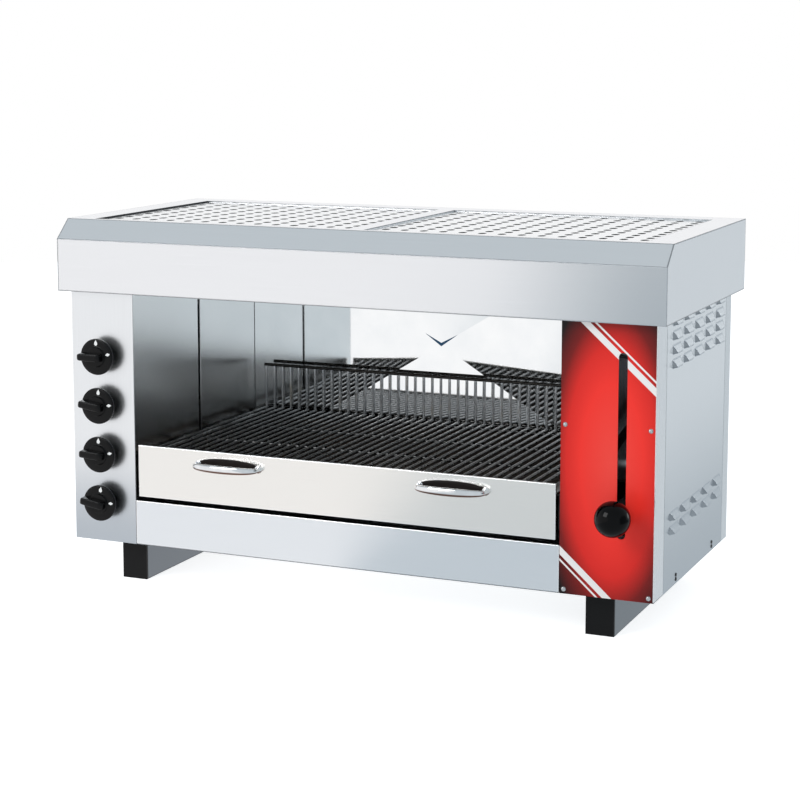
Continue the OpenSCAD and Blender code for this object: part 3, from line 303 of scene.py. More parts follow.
def moulded(name, colour, grit_mm, roughness):
    """Moulded plastic with the fine spark-eroded grain of its mould."""
    material = new_material(name, Base_Color=linear(colour), IOR=1.49, Specular_IOR_Level=0.2)
    place = add_node(material, "TexCoord").outputs["Object"]
    grit = add_node(material, "TexNoise", {"Vector": place, "Scale": 1000 / grit_mm, "Detail": 2})
    handled = add_node(material, "TexNoise", {"Vector": place, "Scale": 1000 / handled_mm, "Detail": 3})
    worn = add_node(material, "MapRange", {"Value": handled, "To Min": roughness - 0.06,
                                           "To Max": roughness + 0.08})
    grain = add_node(material, "Bump", {"Height": grit, "Strength": 0.25, "Distance": 0.0002})
    surface(material, Normal=grain, Roughness=worn)
    return material


tube_steel = satin_steel("satin_ground_tube", shaded_tube_colour, lengthwise, 0.30, painted_edge=tube_edge_highlight)
dress(tube_steel, "left_foot", "right_foot")
dress(moulded("moulded_polypropylene", cap_colour, cap_grit_mm, 0.46), "foot_caps")

# ------------------------------------------------------------------------------------- casing
# Columns, side panels and rear cover are folded from satin stainless sheet. The louvres are
# pressed out of the sides, so they keep its upright grain. The columns' folds have a painted
# highlight, and the sides' folds painted shade.
# painted highlight on the columns' edges, painted shade on the sides' edges
column_colour, column_edge_highlight, column_foot_shade = "#EFF1F3", "#FFFFFF", "#B9C0C7"
side_colour, side_edge_shade, side_foot_shade = "#F4F6F8", "#B4BBC2", "#B8BFC5"
rear_colour = "#E2E6E9"
# painted shade: the sheet is darker towards the bottom, fully at the first height and less and less
# up to the others, in metres
shade_full_height = 0.07
column_shade_top, side_shade_top = 0.26, 0.40


def tinted(material, mask, colour):
    """Lays a colour over a material's own where the mask is 1."""
    own = material.node_tree.nodes["Principled BSDF"].inputs["Base Color"].links[0].from_socket
    laid = add_node(material, "Mix", {"Factor": mask, "A": own, "B": linear(colour)}, data_type="RGBA")
    surface(material, Base_Color=laid)


column_steel = satin_steel("satin_stainless_columns", column_colour, upright, 0.30, painted_edge=column_edge_highlight)
side_steel = satin_steel("satin_stainless_sides", side_colour, upright, 0.20, painted_edge=side_edge_shade)
# painted shade, darker towards the bottom of the columns and sides
for steel, foot_shade_colour, top in ((column_steel, column_foot_shade, column_shade_top),
                                (side_steel, side_foot_shade, side_shade_top)):
    place = add_node(steel, "TexCoord").outputs["Object"]
    height = add_node(steel, "SeparateXYZ", {"Vector": place}).outputs["Z"]
    foot_shade = add_node(steel, "MapRange", {"Value": height, "From Min": top, "From Max": shade_full_height},
                     interpolation_type="SMOOTHSTEP")
    tinted(steel, foot_shade, foot_shade_colour)
dress(column_steel, "left_column")
dress(side_steel, "left_side_panel", "right_side_panel")
right_steel = satin_steel("satin_stainless_right_column", column_colour, upright, 0.26, painted_edge=column_edge_highlight)
dress(right_steel, "right_column")
dress(satin_steel("satin_stainless_rear", rear_colour, sideways, 0.24), "rear_cover")

# -------------------------------------------------------------------------- screws and rivets
# Cross-head screws are nickel-plated steel, brighter than the sheet round them. Pop rivets of
# blackened steel hold the sides at their foot, and their near-black colour is also painted shade for
# their hollow middles. Both show fine scuffs from the tool that set them.
scuff_mm = 1.11
nickel_tones = [(0.3, "#B9BCBE"), (0.7, "#DCDEDF")]
black_tones = [(0.3, "#0C0D0E"), (0.7, "#1E2022")]


def mottled(material, patch_mm, tones, rough, detail=4):
    """Colour and roughness that drift over a surface in patches. Returns the patches."""
    place = add_node(material, "TexCoord").outputs["Object"]
    patches = add_node(material, "TexNoise", {"Vector": place, "Scale": 1000 / patch_mm, "Detail": detail})
    surface(material, Base_Color=add_node(material, "ValToRGB", {"Fac": patches}, stops=tones),
            Roughness=add_node(material, "MapRange", {"Value": patches, "To Min": rough[0],
                                                      "To Max": rough[1]}))
    return patches


nickel = new_material("nickel_plated_screws", Metallic=1.0)
mottled(nickel, scuff_mm, nickel_tones, (0.16, 0.30), detail=2)
dress(nickel, "panel_screws", "rear_screws")
# the rivets' near-black colour also stands in as painted shade for their hollow middles
black_rivets = new_material("blackened_steel_rivets", Metallic=1.0)
mottled(black_rivets, scuff_mm, black_tones, (0.16, 0.30), detail=2)
dress(black_rivets, "side_rivets")

# ------------------------------------------------------------------------------ control panel
# A sheet with stoved red enamel, printed darker towards its corners, with pairs of straight
# white stripes across two of them. Enamel is smooth and glossy, with a slight orange peel.
panel_reds = [(0.0, "#FF4A40"), (0.34, "#FF342A"), (0.50, "#E4261E"), (0.64, "#7A110E"), (0.78, "#0C0202")]
# middle of the brightest red, in metres, and how wide and tall the reds spread round it
panel_middle = (0.440, 0.280)
panel_spread = (0.100, 0.245)
# the scale of the reds ends this many spreads from the middle
panel_reach = 1.45
peel_mm = 6.25
stripe_white = "#F6F3F1"
stripe_slope = math.atan2(0.069, 0.077)
# distance from the panel's middle across the stripes, and width, in metres
stripes = [(0.1290, 0.0100), (0.1400, 0.0028), (-0.1600, 0.0100), (-0.1710, 0.0028)]


def centred(material, middle, half):
    """Places on an upright sheet, from -1 to 1 over this half size on each side of its middle."""
    place = add_node(material, "TexCoord").outputs["Object"]
    return add_node(material, "Mapping", {
        "Vector": place,
        "Location": (-middle[0] / half[0], 0, -middle[1] / half[1]),
        "Scale": (1 / half[0], 0, 1 / half[1])})


enamel = new_material("stoved_red_enamel", Roughness=0.34, IOR=1.45, Specular_IOR_Level=0.35)
place = add_node(enamel, "TexCoord").outputs["Object"]
reach = add_node(enamel, "VectorMath", {0: centred(enamel, panel_middle, panel_spread)}, operation="LENGTH")
fade = add_node(enamel, "MapRange", {"Value": reach, "From Min": 0.0, "From Max": panel_reach})
peel = add_node(enamel, "TexNoise", {"Vector": place, "Scale": 1000 / peel_mm, "Detail": 1})
skin = add_node(enamel, "Bump", {"Height": peel, "Strength": 0.06, "Distance": 0.0006})
surface(enamel, Base_Color=add_node(enamel, "ValToRGB", {"Fac": fade}, stops=panel_reds), Normal=skin)
stripe_way = (math.sin(stripe_slope), 0, math.cos(stripe_slope))
across = add_node(enamel, "VectorMath", {0: place, 1: stripe_way}, operation="DOT_PRODUCT")
middle_across = panel_middle[0] * stripe_way[0] + panel_middle[1] * stripe_way[2]
for distance, width in stripes:
    printed = add_node(enamel, "Math", {0: across, 1: middle_across + distance, 2: width / 2},
                       operation="COMPARE")
    tinted(enamel, printed, stripe_white)
dress(enamel, "control_panel")

# ------------------------------------------------------------------------------ cooking space
# Satin side walls and a lower front panel close the space. Its back is a bright polished sheet,
# cross-broken so that it stays flat, which mirrors the heat and everything before it.
# the walls' and lower front panel's edges get a painted highlight
wall_colour, front_colour, pale_edge_highlight = "#F6F8F8", "#EAEEF2", "#FFFFFF"
buffed_tones = [(0.3, "#F6F8F9"), (0.7, "#FDFEFE")]
buffing_mm = 45.5
# middle and half size of the back, in metres
back_middle = (-0.016, 0.370)
back_half = (0.3745, 0.230)
# each leaf between the creases springs a little, so it mirrors another part of the room: slopes
# of the upper and the lower leaf, and of the side ones from spring_start outward and in the middle
upper_slope = (-0.062, 0, 0)
lower_slope = (0, 0, -0.038)
side_slope, inner_slope = 0.011, 0.033
spring_start = 0.75
# painted shade: the upper creases are dark blue near the middle, in a line that narrows outward
crease_shade_blue = "#2E4A64"
crease_shade_reach = 0.085
crease_shade_width = 0.014

wall_steel = satin_steel("satin_stainless_walls", wall_colour, upright, 0.24, painted_edge=pale_edge_highlight)
dress(wall_steel, "left_cavity_wall", "right_cavity_wall")
front_steel = satin_steel("satin_stainless_level_grain", front_colour, sideways, painted_edge=pale_edge_highlight)
dress(front_steel, "lower_front_panel")

mirror = new_material("mirror_polished_stainless", Metallic=1.0)
mottled(mirror, buffing_mm, buffed_tones, (0.015, 0.05))
at = add_node(mirror, "SeparateXYZ", {"Vector": centred(mirror, back_middle, back_half)}).outputs
across = add_node(mirror, "Math", {0: at["X"]}, operation="ABSOLUTE")
rise = add_node(mirror, "Math", {0: at["Z"]}, operation="ABSOLUTE")
beside = add_node(mirror, "Math", {0: across, 1: rise}, operation="GREATER_THAN")
lower = add_node(mirror, "Math", {0: at["Z"], 1: 0.0}, operation="LESS_THAN")
spring = add_node(mirror, "MapRange", {"Value": across, "From Min": spring_start, "From Max": 0.0,
                                       "To Min": side_slope, "To Max": inner_slope})
beside_slope = add_node(mirror, "CombineXYZ", {"Z": spring})
slope = add_node(mirror, "Mix", {"Factor": lower, "A": upper_slope, "B": lower_slope}, data_type="VECTOR")
slope = add_node(mirror, "Mix", {"Factor": beside, "A": slope, "B": beside_slope}, data_type="VECTOR")
flat = add_node(mirror, "NewGeometry").outputs["Normal"]
tipped = add_node(mirror, "VectorMath", {0: flat, 1: slope}, operation="SUBTRACT")
tipped = add_node(mirror, "VectorMath", {0: tipped}, operation="NORMALIZE")
surface(mirror, Normal=tipped)
# painted shade along the upper creases
breadth = add_node(mirror, "MapRange", {"Value": across, "From Min": 0.0, "From Max": crease_shade_reach,
                                        "To Min": crease_shade_width, "To Max": 0.0})
crease_shade = add_node(mirror, "Math", {0: across, 1: at["Z"], 2: breadth}, operation="COMPARE")
inside = add_node(mirror, "Math", {0: across, 1: crease_shade_reach}, operation="LESS_THAN")
crease_shade = add_node(mirror, "Math", {0: crease_shade, 1: inside}, operation="MULTIPLY")
tinted(mirror, crease_shade, crease_shade_blue)
dress(mirror, "cavity_back")

# ------------------------------------------------------------------------------------ burners
# Four steel boxes hang from two angles and hold ceramic plates with rows of fine flame holes.
# The boxes are blackened by the heat, and the ceramic is cream, with brown scorch clouds.
iron_tones = [(0.3, "#1E1D1E"), (0.55, "#302E2D"), (0.8, "#46403B")]
iron_cloud_mm = 33.3
ceramic_tones = [(0.35, "#EDE3D0"), (0.6, "#E0D0B4"), (0.8, "#B99A78")]
scorch_mm = 111
# flame holes lie 2.5 mm apart, and are drawn further apart so that they show
flame_hole_mm = 6
# the flame holes are painted dark brown, as the shade inside them
flame_hole_colour = "#3B2E25"

black_iron = new_material("heat_blackened_steel", Metallic=0.7)
scale_marks = mottled(black_iron, iron_cloud_mm, iron_tones, (0.42, 0.62), detail=5)
mill_skin = add_node(black_iron, "Bump", {"Height": scale_marks, "Strength": 0.2, "Distance": 0.0005})
surface(black_iron, Normal=mill_skin)
dress(black_iron, "burner_1", "burner_2", "burner_3", "burner_4")

ceramic = new_material("perforated_ceramic")
mottled(ceramic, scorch_mm, ceramic_tones, (0.8, 0.92))
place = add_node(ceramic, "TexCoord").outputs["Object"]
rows = add_node(ceramic, "TexVoronoi", {"Vector": place, "Scale": 1000 / flame_hole_mm, "Randomness": 0.0})
hole = add_node(ceramic, "MapRange", {"Value": rows, "From Min": 0.60, "From Max": 0.52})
dimples = add_node(ceramic, "Bump", {"Height": hole, "Strength": 0.6, "Distance": 0.001}, invert=True)
surface(ceramic, Normal=dimples)
# painted shade in the flame holes
tinted(ceramic, hole, flame_hole_colour)
dress(ceramic, "burner_tiles")
dress(zinc, "burner_rails")

# ----------------------------------------------------------------------------------- gas line
# Valves and manifold are brass, turned and sawn to shape, and bright where the tool ran. The
# burner pipes are drawn aluminium tube, pale and half matt.
brass_tones = [(0.3, "#A9874A"), (0.65, "#D2AC62")]
tarnish_mm = 28.6
tool_feed_mm = 0.628
aluminium_tones = [(0.3, "#BFC1C2"), (0.7, "#D8D9DA")]
drawn_mm = 8.33

brass = new_material("turned_brass", Metallic=1.0)
mottled(brass, tarnish_mm, brass_tones, (0.22, 0.40))
place = add_node(brass, "TexCoord").outputs["Object"]
# a wave texture of scale 1 has a ridge every tenth of pi
turning = add_node(brass, "TexWave", {"Vector": place, "Scale": 1000 * math.pi / 10 / tool_feed_mm,
                                      "Distortion": 1.5, "Detail": 2}, bands_direction="Z")
tool_marks = add_node(brass, "Bump", {"Height": turning.outputs["Fac"], "Strength": 0.06,
                                      "Distance": 0.0002})
surface(brass, Normal=tool_marks)
dress(brass, "gas_valves", "gas_manifold")

aluminium = new_material("drawn_aluminium_tube", Metallic=1.0)
mottled(aluminium, drawn_mm, aluminium_tones, (0.30, 0.42), detail=3)
dress(aluminium, "burner_pipes")

# -------------------------------------------------------------------------- spindles and knobs
# Each valve has a steel spindle with a flat, and on it a knob moulded in black phenolic: a
# dial with a rounded rim, a low hub, a bar to hold, and two marks filled with white paint.
knob_x = -0.4495
knob_heights = (0.139, 0.222, 0.305, 0.388)
# degrees that each knob was left at, clockwise
knob_turns = (9, 3, 7, 0)
column_face = -0.20475
knob_colour = "#070708"
knob_grit_mm = 0.8
mark_tones = [(0.3, "#F4F4F2"), (0.7, "#FCFCFB")]
paint_grain_mm = 1.25
# radius and distance from the column's face, in mm, along the dial's outline and its bore
bore = 4.5
dial_outline = [(bore, 25.1), (bore, 7), (24.4, 7), (25.4, 8), (28.4, 13.8), (30.1, 15.0), (30.5, 16.0),
                (30.5, 19.2), (30.1, 20.3), (29.0, 21.0), (19.4, 20.7), (17.6, 20.9), (16.9, 21.6),
                (16.5, 24.0), (15.6, 24.9), (bore, 25.1)]
# the bore ends within this step along the bar, which keeps this wall beside it, and where there is
# no bore a sliver stands in for its arch
bore_step, bar_wall, sliver = 0.1, 0.4, 0.01
# place along the bar, half widths at its foot and its top, and height, in mm
bar_sections = [(-30.0, 2.6, 1.6, 31.2), (-29.6, 4.8, 3.4, 33.4), (-28.2, 6.2, 4.6, 34.6),
                (-25.6, 6.9, 5.2, 35.0), (-bore - bore_step, 7.3, 5.8, 35.0), (-bore, 7.3, 5.8, 35.0),
                (bore, 7.5, 5.8, 35.0), (bore + bore_step, 7.5, 5.8, 35.0), (10.2, 7.4, 5.7, 34.4),
                (12.4, 7.0, 5.3, 33.0), (13.4, 6.4, 4.6, 30.0), (13.8, 5.8, 4.0, 25.0)]
# how far the bore runs up into the bar, which leaves the spindle room when the knob is pushed
bar_foot, bore_end = 20.4, 28.2
# points of each mark, sideways and outward from its middle, and that middle's radius and angle
drop_mark = [(0.0, 5.4), (-0.9, 3.6), (-2.4, 1.2), (-3.1, -0.8), (-2.8, -2.6), (-1.6, -3.9),
             (0.0, -4.4), (1.6, -3.9), (2.8, -2.6), (3.1, -0.8), (2.4, 1.2), (0.9, 3.6)]
diamond_mark = [(0.0, 4.7), (-1.9, 1.9), (-2.6, 0.0), (-1.9, -1.9), (0.0, -4.7), (1.9, -1.9),
                (2.6, 0.0), (1.9, 1.9)]
marks = [(drop_mark, 23.6, 90), (diamond_mark, 23.0, 13)]
mark_height = 21.2
# edges sharper than this, in degrees, stay crisp on a smooth piece
crisp_edge = 40


def turned_rings(shape, outline, steps, along=0.0):
    """Faces of an outline of (radius, height) pairs turned round an upright line, in mm."""
    turns = [2 * math.pi * i / steps for i in range(steps)]
    rings = []
    for radius, height in outline:
        points = [(along + radius * math.cos(a), radius * math.sin(a), height) for a in turns]
        rings.append([shape.verts.new(point) for point in (points if radius else points[:1])])
    skin_rings(shape, rings)


def skin_rings(shape, rings):
    """Faces from each ring of points to the next. A ring of one point is a tip."""
    for low, high in zip(rings, rings[1:]):
        steps = max(len(low), len(high))
        for i in range(steps):
            j = (i + 1) % steps
            corners = [low[i % len(low)], low[j % len(low)], high[j % len(high)], high[i % len(high)]]
            shape.faces.new(sorted(set(corners), key=corners.index))


def finished(name, shape, body, materials, stand):
    """Makes a piece from a shape in mm, stood in place by a matrix, and rides it on a body."""
    bmesh.ops.recalc_face_normals(shape, faces=shape.faces)
    mesh = bpy.data.meshes.new(name)
    shape.to_mesh(mesh)
    shape.free()
    mesh.transform(stand @ Matrix.Scale(0.001, 4))
    for material in materials:
        mesh.materials.append(material)
    mesh.shade_smooth()
    mesh.set_sharp_from_angle(angle=math.radians(crisp_edge))
    piece = bpy.data.objects.new(name, mesh)
    bpy.context.scene.collection.objects.link(piece)
    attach(piece, body)
    return piece


dress(nickel, "spindle_1", "spindle_2", "spindle_3", "spindle_4")
knob_plastic = moulded("moulded_black_phenolic", knob_colour, knob_grit_mm, 0.24)
mark_paint = new_material("white_mark_paint", IOR=1.5)
mottled(mark_paint, paint_grain_mm, mark_tones, (0.42, 0.58), detail=2)

for number, (height, turn) in enumerate(zip(knob_heights, knob_turns), 1):
    shape = bmesh.new()
    turned_rings(shape, dial_outline, steps=72)
    sections = []
    for along, foot, top, rise in bar_sections:
        inner = min(bore, foot - bar_wall)
        arch = bore_end if abs(along) <= bore else bar_foot + sliver
        # up one flank of the bar and over its rounded shoulder
        flank = [(inner, arch), (inner, bar_foot), (foot, bar_foot), (foot - 0.3, bar_foot + 1.2),
                 (top + 0.5, rise - 1.8), (top + 0.2, rise - 0.8), (top - 0.8, rise)]
        section = flank + [(-side, up) for side, up in reversed(flank)]
        sections.append([shape.verts.new((along, side, up)) for side, up in section])
    skin_rings(shape, sections)
    for end in (sections[0], sections[-1]):
        shape.faces.new(end)
    for mark, radius, angle in marks:
        angle = math.radians(angle)
        corners = [((radius + out) * math.cos(angle) - side * math.sin(angle),
                    (radius + out) * math.sin(angle) + side * math.cos(angle), mark_height)
                   for side, out in mark]
        face = shape.faces.new([shape.verts.new(corner) for corner in corners])
        face.material_index = 1
    stand = (Matrix.Translation((knob_x, column_face, height)) @ Matrix.Rotation(math.pi / 2, 4, "X")
             @ Matrix.Rotation(-math.radians(turn), 4, "Z"))
    knob = finished(f"gas_knob_{number}", shape, f"knob_body_{number}",
                    [knob_plastic, mark_paint], stand)
    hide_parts(f"knob_{number}")

# --------------------------------------------------------------------------------------- lift
# The shaft, bearings and guide rods are ground steel bar, greyed darker as painted shade for the
# closed space behind the panel, and the arms and hangers are black with mill scale, which also
# stands in as painted shade there. The lever is powder-coated flat bar, fine-grained and half matt,
# and its grip is a ball turned from black phenolic and polished.
shaded_bar_colour = "#8E9296"
powder_tones = [(0.3, "#141416"), (0.7, "#1C1C1E")]
rubbed_mm = 25
powder_mm = 1.43
phenolic_tones = [(0.3, "#010102"), (0.7, "#030304")]
phenolic_cloud_mm = 16.7
ball_middle = (0.4555, -0.24875, 0.20512)
lever_angle = math.radians(11.6)
# in mm: the ball, the depth of the flat that meets the lever, and the rounding of its edge
ball_radius = 27.5
flat_depth = 3
flat_round = 0.6
ball_steps = 40

# painted shade: the bar is greyed darker for the closed space behind the panel
shaded_bar = satin_steel("shaded_steel_bar", shaded_bar_colour, sideways, 0.32)
dress(shaded_bar, "lift_shaft", "left_shaft_bearing", "right_shaft_bearing")
dress(shaded_bar, "left_guide_rod", "right_guide_rod")
# painted shade: the arms and hangers are black partly for the dark space they sit in
dress(black_iron, "left_hanger", "right_hanger", "left_lift_arm", "right_lift_arm")

powder = new_material("black_powder_coat", IOR=1.5, Specular_IOR_Level=0.25)
mottled(powder, rubbed_mm, powder_tones, (0.34, 0.48), detail=3)
place = add_node(powder, "TexCoord").outputs["Object"]
pebbles = add_node(powder, "TexNoise", {"Vector": place, "Scale": 1000 / powder_mm, "Detail": 1})
surface(powder, Normal=add_node(powder, "Bump", {"Height": pebbles, "Strength": 0.2, "Distance": 0.0003}))
dress(powder, "hand_lever")

phenolic = new_material("polished_phenolic", Specular_IOR_Level=0.14)
mottled(phenolic, phenolic_cloud_mm, phenolic_tones, (0.03, 0.07))
flat_angle = math.acos((ball_radius - flat_depth) / ball_radius)
ball_outline = [(0, -ball_radius + flat_depth),
                (ball_radius * math.sin(flat_angle) - flat_round, -ball_radius + flat_depth)]
for i in range(ball_steps):
    a = flat_angle + (math.pi - flat_angle) * i / ball_steps
    ball_outline.append((ball_radius * math.sin(a), -ball_radius * math.cos(a)))
ball_outline.append((0, ball_radius))
shape = bmesh.new()
turned_rings(shape, ball_outline, steps=80)
stand = Matrix.Translation(ball_middle) @ Matrix.Rotation(math.pi / 2 + lever_angle, 4, "X")
ball = finished("lever_ball_grip", shape, "lever", [phenolic], stand)
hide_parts("ball_grip")

# ----------------------------------------------------------------------------------- carriage
# Two angle rails carry the tray's rim, and a flat bar under the pan ties them together. They
# are hot-rolled steel, black with mill scale.
dress(black_iron, "carriage_yoke", "left_tray_rail", "right_tray_rail")

# --------------------------------------------------------------------------------------- tray
# The pan is pressed sheet with a dark fired enamel that hot fat has browned along its rim. The
# front is satin stainless, folded back along its edges.
fired_tones = [(0.3, "#2A2421"), (0.6, "#42362D"), (0.8, "#5F452F")]
fat_mm = 62.5
tray_front_colour, tray_front_edge_highlight = "#F6F4F0", "#FFFFFF"

dark_enamel = new_material("dark_fired_enamel", IOR=1.52)
fat = mottled(dark_enamel, fat_mm, fired_tones, (0.18, 0.36), detail=5)
fired_skin = add_node(dark_enamel, "Bump", {"Height": fat, "Strength": 0.15, "Distance": 0.0006})
surface(dark_enamel, Normal=fired_skin)
dress(dark_enamel, "tray_pan")
# the front's edges get a painted highlight
tray_steel = satin_steel("satin_stainless_tray_front", tray_front_colour, sideways, painted_edge=tray_front_edge_highlight)
dress(tray_steel, "tray_front")

# ------------------------------------------------------------------------------- bow handles
# Each handle is a cast and chrome-plated bow, screwed from behind through two small collars. A
# dark moulded plate between the bow and the sheet stands in as painted shade for a recess behind it.
handle_middles = (-0.214, 0.182)
handle_height = 0.218
# the tray's front lies flush with the columns
tray_face = column_face
chrome_tones = [(0.3, "#E4E6E8"), (0.7, "#F2F3F4")]
haze_mm = 14.3
# painted reflection: the underside is tinted brown, for the dark plate and pan that it mirrors
underside_reflection_brown = "#6B4E42"
# the plate's colour is painted shade for the recess behind the bow
recess_shade_colour = "#150E0B"
plate_grit_mm = 0.8
# half length, how far the bow's front and its ends stand out, and its thickness and half height
# at the ends and in the middle, in mm
bow_half, bow_out, bow_ends = 58, 30, 2.0
bow_thick = (4.5, 9.5)
bow_tall = (3.2, 6.6)
bow_steps, ring_steps = 40, 24
# powers below 1: the bow runs nearly level and turns back sharply at its ends, and the corners of
# its section and the plate's ends are squared a little
bow_power = 0.55
face_power, edge_power, plate_power = 0.8, 0.9, 0.8
# radius and height along a collar, and how far its middle lies inside the bow's end, in mm
collar_outline = [(0, 0), (6.2, 0), (6.4, 1.0), (5.8, 2.2), (4.2, 2.8), (3.8, 4.6), (0, 4.6)]
collar_inset = 3
# half length and half height of the plate, and how far it draws in at which height, in mm
plate_half = (57, 12)
plate_outline = [(0.0, 0.0), (0.0, 1.0), (0.5, 1.7), (1.6, 2.0), (6.0, 2.1)]
plate_steps = 72


def squared(wave, power):
    """A sine or cosine drawn out towards its ends, which squares the corners of a round outline."""
    return math.copysign(abs(wave) ** power, wave)


chrome = new_material("polished_chrome", Metallic=1.0)
mottled(chrome, haze_mm, chrome_tones, (0.03, 0.09), detail=3)
facing = add_node(chrome, "SeparateXYZ", {"Vector": add_node(chrome, "NewGeometry").outputs["Normal"]})
# painted reflection of the dark plate and pan on the bow's downward-facing side
underside_reflection = add_node(chrome, "MapRange", {"Value": facing.outputs["Z"], "From Min": -0.12, "From Max": -0.30})
tinted(chrome, underside_reflection, underside_reflection_brown)
# a dark plate as painted shade for the recess behind each bow
recess_shade_plastic = moulded("recess_shade_moulding", recess_shade_colour, plate_grit_mm, 0.42)

for side, middle in zip(("left", "right"), handle_middles):
    stand = Matrix.Translation((middle, tray_face, handle_height)) @ Matrix.Rotation(math.pi / 2, 4, "X")
    shape = bmesh.new()
    sections = []
    for step in range(bow_steps + 1):
        turn = math.pi * (step / bow_steps - 0.5)
        bulge = max(0.0, math.cos(turn))
        thick = bow_thick[0] + (bow_thick[1] - bow_thick[0]) * bulge
        tall = bow_tall[0] + (bow_tall[1] - bow_tall[0]) * bulge
        out = (bow_out - bow_thick[1] / 2) * bulge ** bow_power + bow_ends
        ring = []
        for i in range(ring_steps):
            a = 2 * math.pi * i / ring_steps
            across = squared(math.cos(a), face_power) * thick / 2
            up = squared(math.sin(a), edge_power) * tall
            point = ((bow_half + across) * math.sin(turn), up, out + across * math.cos(turn))
            ring.append(shape.verts.new(point))
        sections.append(ring)
    skin_rings(shape, sections)
    for end in (sections[0], sections[-1]):
        shape.faces.new(end)
    for foot in (-1, 1):
        turned_rings(shape, collar_outline, steps=32, along=foot * (bow_half - collar_inset))
    handle = finished(f"{side}_bow_handle", shape, "tray", [chrome], stand)
    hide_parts(f"{side}_handle")

    shape = bmesh.new()
    rings = []
    for inset, up in plate_outline:
        ring = []
        for i in range(plate_steps):
            a = 2 * math.pi * i / plate_steps
            across = (plate_half[0] - inset) * math.cos(a)
            rise = (plate_half[1] - inset) * squared(math.sin(a), plate_power)
            ring.append(shape.verts.new((across, rise, up)))
        rings.append(ring)
    skin_rings(shape, rings)
    shape.faces.new(rings[0])
    shape.faces.new(rings[-1])
    finished(f"{side}_recess_shade_plate", shape, "tray", [recess_shade_plastic], stand)

# ----------------------------------------------------------------------------- grid and fence
# Round steel rods are welded across four bars and enamelled black together, with a gloss. The
# fence wires behind them are nickel-plated, with a straw tint from the heat.
rod_tones = [(0.35, "#121214"), (0.6, "#1C1B1C"), (0.8, "#2E2A27")]
rod_cloud_mm = 25
wire_tones = [(0.3, "#DCDFE3"), (0.55, "#F6F7F9"), (0.8, "#E4D8C4")]
straw_mm = 40
# the fence's top rail is near black
rail_black = "#3A3836"
rail_black_depth = 0.005

rod_enamel = new_material("black_enamelled_rod", IOR=1.52, Coat_Weight=0.8, Coat_Roughness=0.06)
mottled(rod_enamel, rod_cloud_mm, rod_tones, (0.20, 0.34))
dress(rod_enamel, "grid_rods", "grid_bars")

wire = new_material("heat_tinted_nickel_wire", Metallic=0.75)
mottled(wire, straw_mm, wire_tones, (0.12, 0.20), detail=3)
rail_top = max(corner.co.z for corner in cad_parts["grid_fence"].data.vertices)
place = add_node(wire, "TexCoord").outputs["Object"]
height = add_node(wire, "SeparateXYZ", {"Vector": place}).outputs["Z"]
dark_rail = add_node(wire, "Math", {0: height, 1: rail_top - rail_black_depth}, operation="GREATER_THAN")
tinted(wire, dark_rail, rail_black)
dress(wire, "grid_fence")

# ------------------------------------------------------------------------ hood and top plates
# The hood is one folded and welded shell of satin stainless, ground along its length. Its folds
# are painted in shade, and so are a step at the left end of the openings in its top and the front's
# right end. Two bright perforated plates lie in these openings and let the burners' heat out.
hood_colour, hood_edge_shade = "#F3F4F6", "#6C7074"
# middle and half size of the step that is painted dark as shade, in metres
step_middle = (-0.45, 0.022, 0.612)
step_half = (0.04, 0.200, 0.006)
step_shade_colour = "#2A2C2E"
# painted shade: the front's right end is darker, more and more outward
right_shade_from, right_shade_to = 0.22, 0.52
right_end_shade_colour = "#C6CBCF"
plate_tones = [(0.3, "#FAFBFB"), (0.7, "#FFFFFF")]
blush_mm = 83.3
# painted shade in and round the holes
hole_shade_colour = "#1C1E20"
# middle of the right plate, pitch of the holes, and how far the painted shade reaches from a hole's
# middle, sideways and from front to back, in metres
plate_middle = (0.247, 0.022)
hole_pitch = (0.033, 0.032)
hole_shade_reach = (0.0072, 0.0104)

hood_steel = satin_steel("satin_stainless_hood", hood_colour, sideways, painted_edge=hood_edge_shade)
place = add_node(hood_steel, "TexCoord").outputs["Object"]
face = add_node(hood_steel, "NewGeometry").outputs["True Normal"]
at = add_node(hood_steel, "SeparateXYZ", {"Vector": place}).outputs
facing = add_node(hood_steel, "SeparateXYZ", {"Vector": face}).outputs
# painted shade on the front's right end, which the mask below carries
handled = add_node(hood_steel, "MapRange", {"Value": at["X"], "From Min": right_shade_from,
                                            "From Max": right_shade_to}, interpolation_type="SMOOTHSTEP")
fronting = add_node(hood_steel, "MapRange", {"Value": facing["Y"], "From Min": -0.8, "From Max": -0.95})
handled = add_node(hood_steel, "Math", {0: handled, 1: fronting}, operation="MULTIPLY")
tinted(hood_steel, handled, right_end_shade_colour)
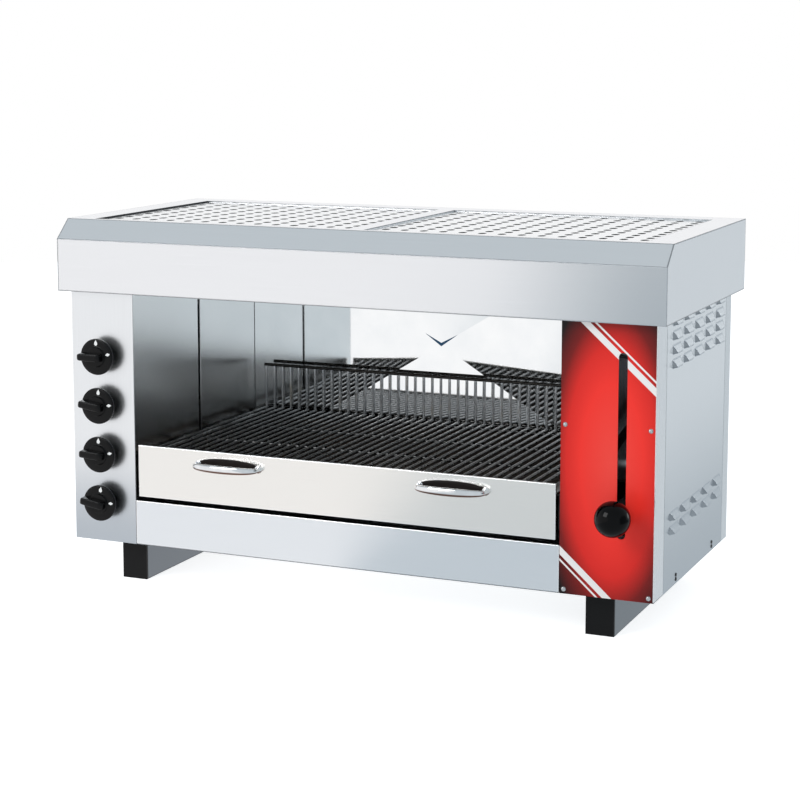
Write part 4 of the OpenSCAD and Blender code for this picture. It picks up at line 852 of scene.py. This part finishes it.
# the step's face looks to the right, and is painted dark as shade in the recess
step = add_node(hood_steel, "Math", {0: facing["X"], 1: 1.0, 2: 0.3}, operation="COMPARE")
for value, middle, half in zip(at, step_middle, step_half):
    within = add_node(hood_steel, "Math", {0: value, 1: middle, 2: half}, operation="COMPARE")
    step = add_node(hood_steel, "Math", {0: within, 1: step}, operation="MULTIPLY")
tinted(hood_steel, step, step_shade_colour)
dress(hood_steel, "hood")

plate = new_material("bright_perforated_plate", Metallic=1.0)
mottled(plate, blush_mm, plate_tones, (0.20, 0.30))
face = add_node(plate, "NewGeometry").outputs["True Normal"]
facing = add_node(plate, "SeparateXYZ", {"Vector": face}).outputs
# the punched holes have sheared walls, which face sideways and are painted dark as shade
sheared = add_node(plate, "Math", {0: facing["Z"], 1: 0.0, 2: 0.5}, operation="COMPARE")
# and painted shade spreads in an oval round each of them, so they look darker and larger
place = add_node(plate, "TexCoord").outputs["Object"]
at = add_node(plate, "SeparateXYZ", {"Vector": place}).outputs
# the left plate mirrors the right one
outward = add_node(plate, "Math", {0: at["X"]}, operation="ABSOLUTE")
off = []
for value, middle, pitch, reach in zip((outward, at["Y"]), plate_middle, hole_pitch, hole_shade_reach):
    steps = add_node(plate, "Math", {0: value, 1: 1 / pitch, 2: -middle / pitch}, operation="MULTIPLY_ADD")
    part = add_node(plate, "Math", {0: steps}, operation="FRACT")
    off.append(add_node(plate, "Math", {0: part, 1: pitch / reach, 2: -pitch / reach / 2},
                        operation="MULTIPLY_ADD"))
from_hole = add_node(plate, "CombineXYZ", {"X": off[0], "Y": off[1]})
from_hole = add_node(plate, "VectorMath", {0: from_hole}, operation="LENGTH")
ring = add_node(plate, "MapRange", {"Value": from_hole, "From Min": 1.0, "From Max": 0.78})
hole_shade = add_node(plate, "Math", {0: sheared, 1: ring}, operation="MAXIMUM")
tinted(plate, hole_shade, hole_shade_colour)
# the painted shade isn't metal and has no gloss
metal = add_node(plate, "Math", {0: 1.0, 1: hole_shade}, operation="SUBTRACT")
surface(plate, Metallic=metal, Specular_IOR_Level=0.0)
dress(plate, "left_top_plate", "right_top_plate")
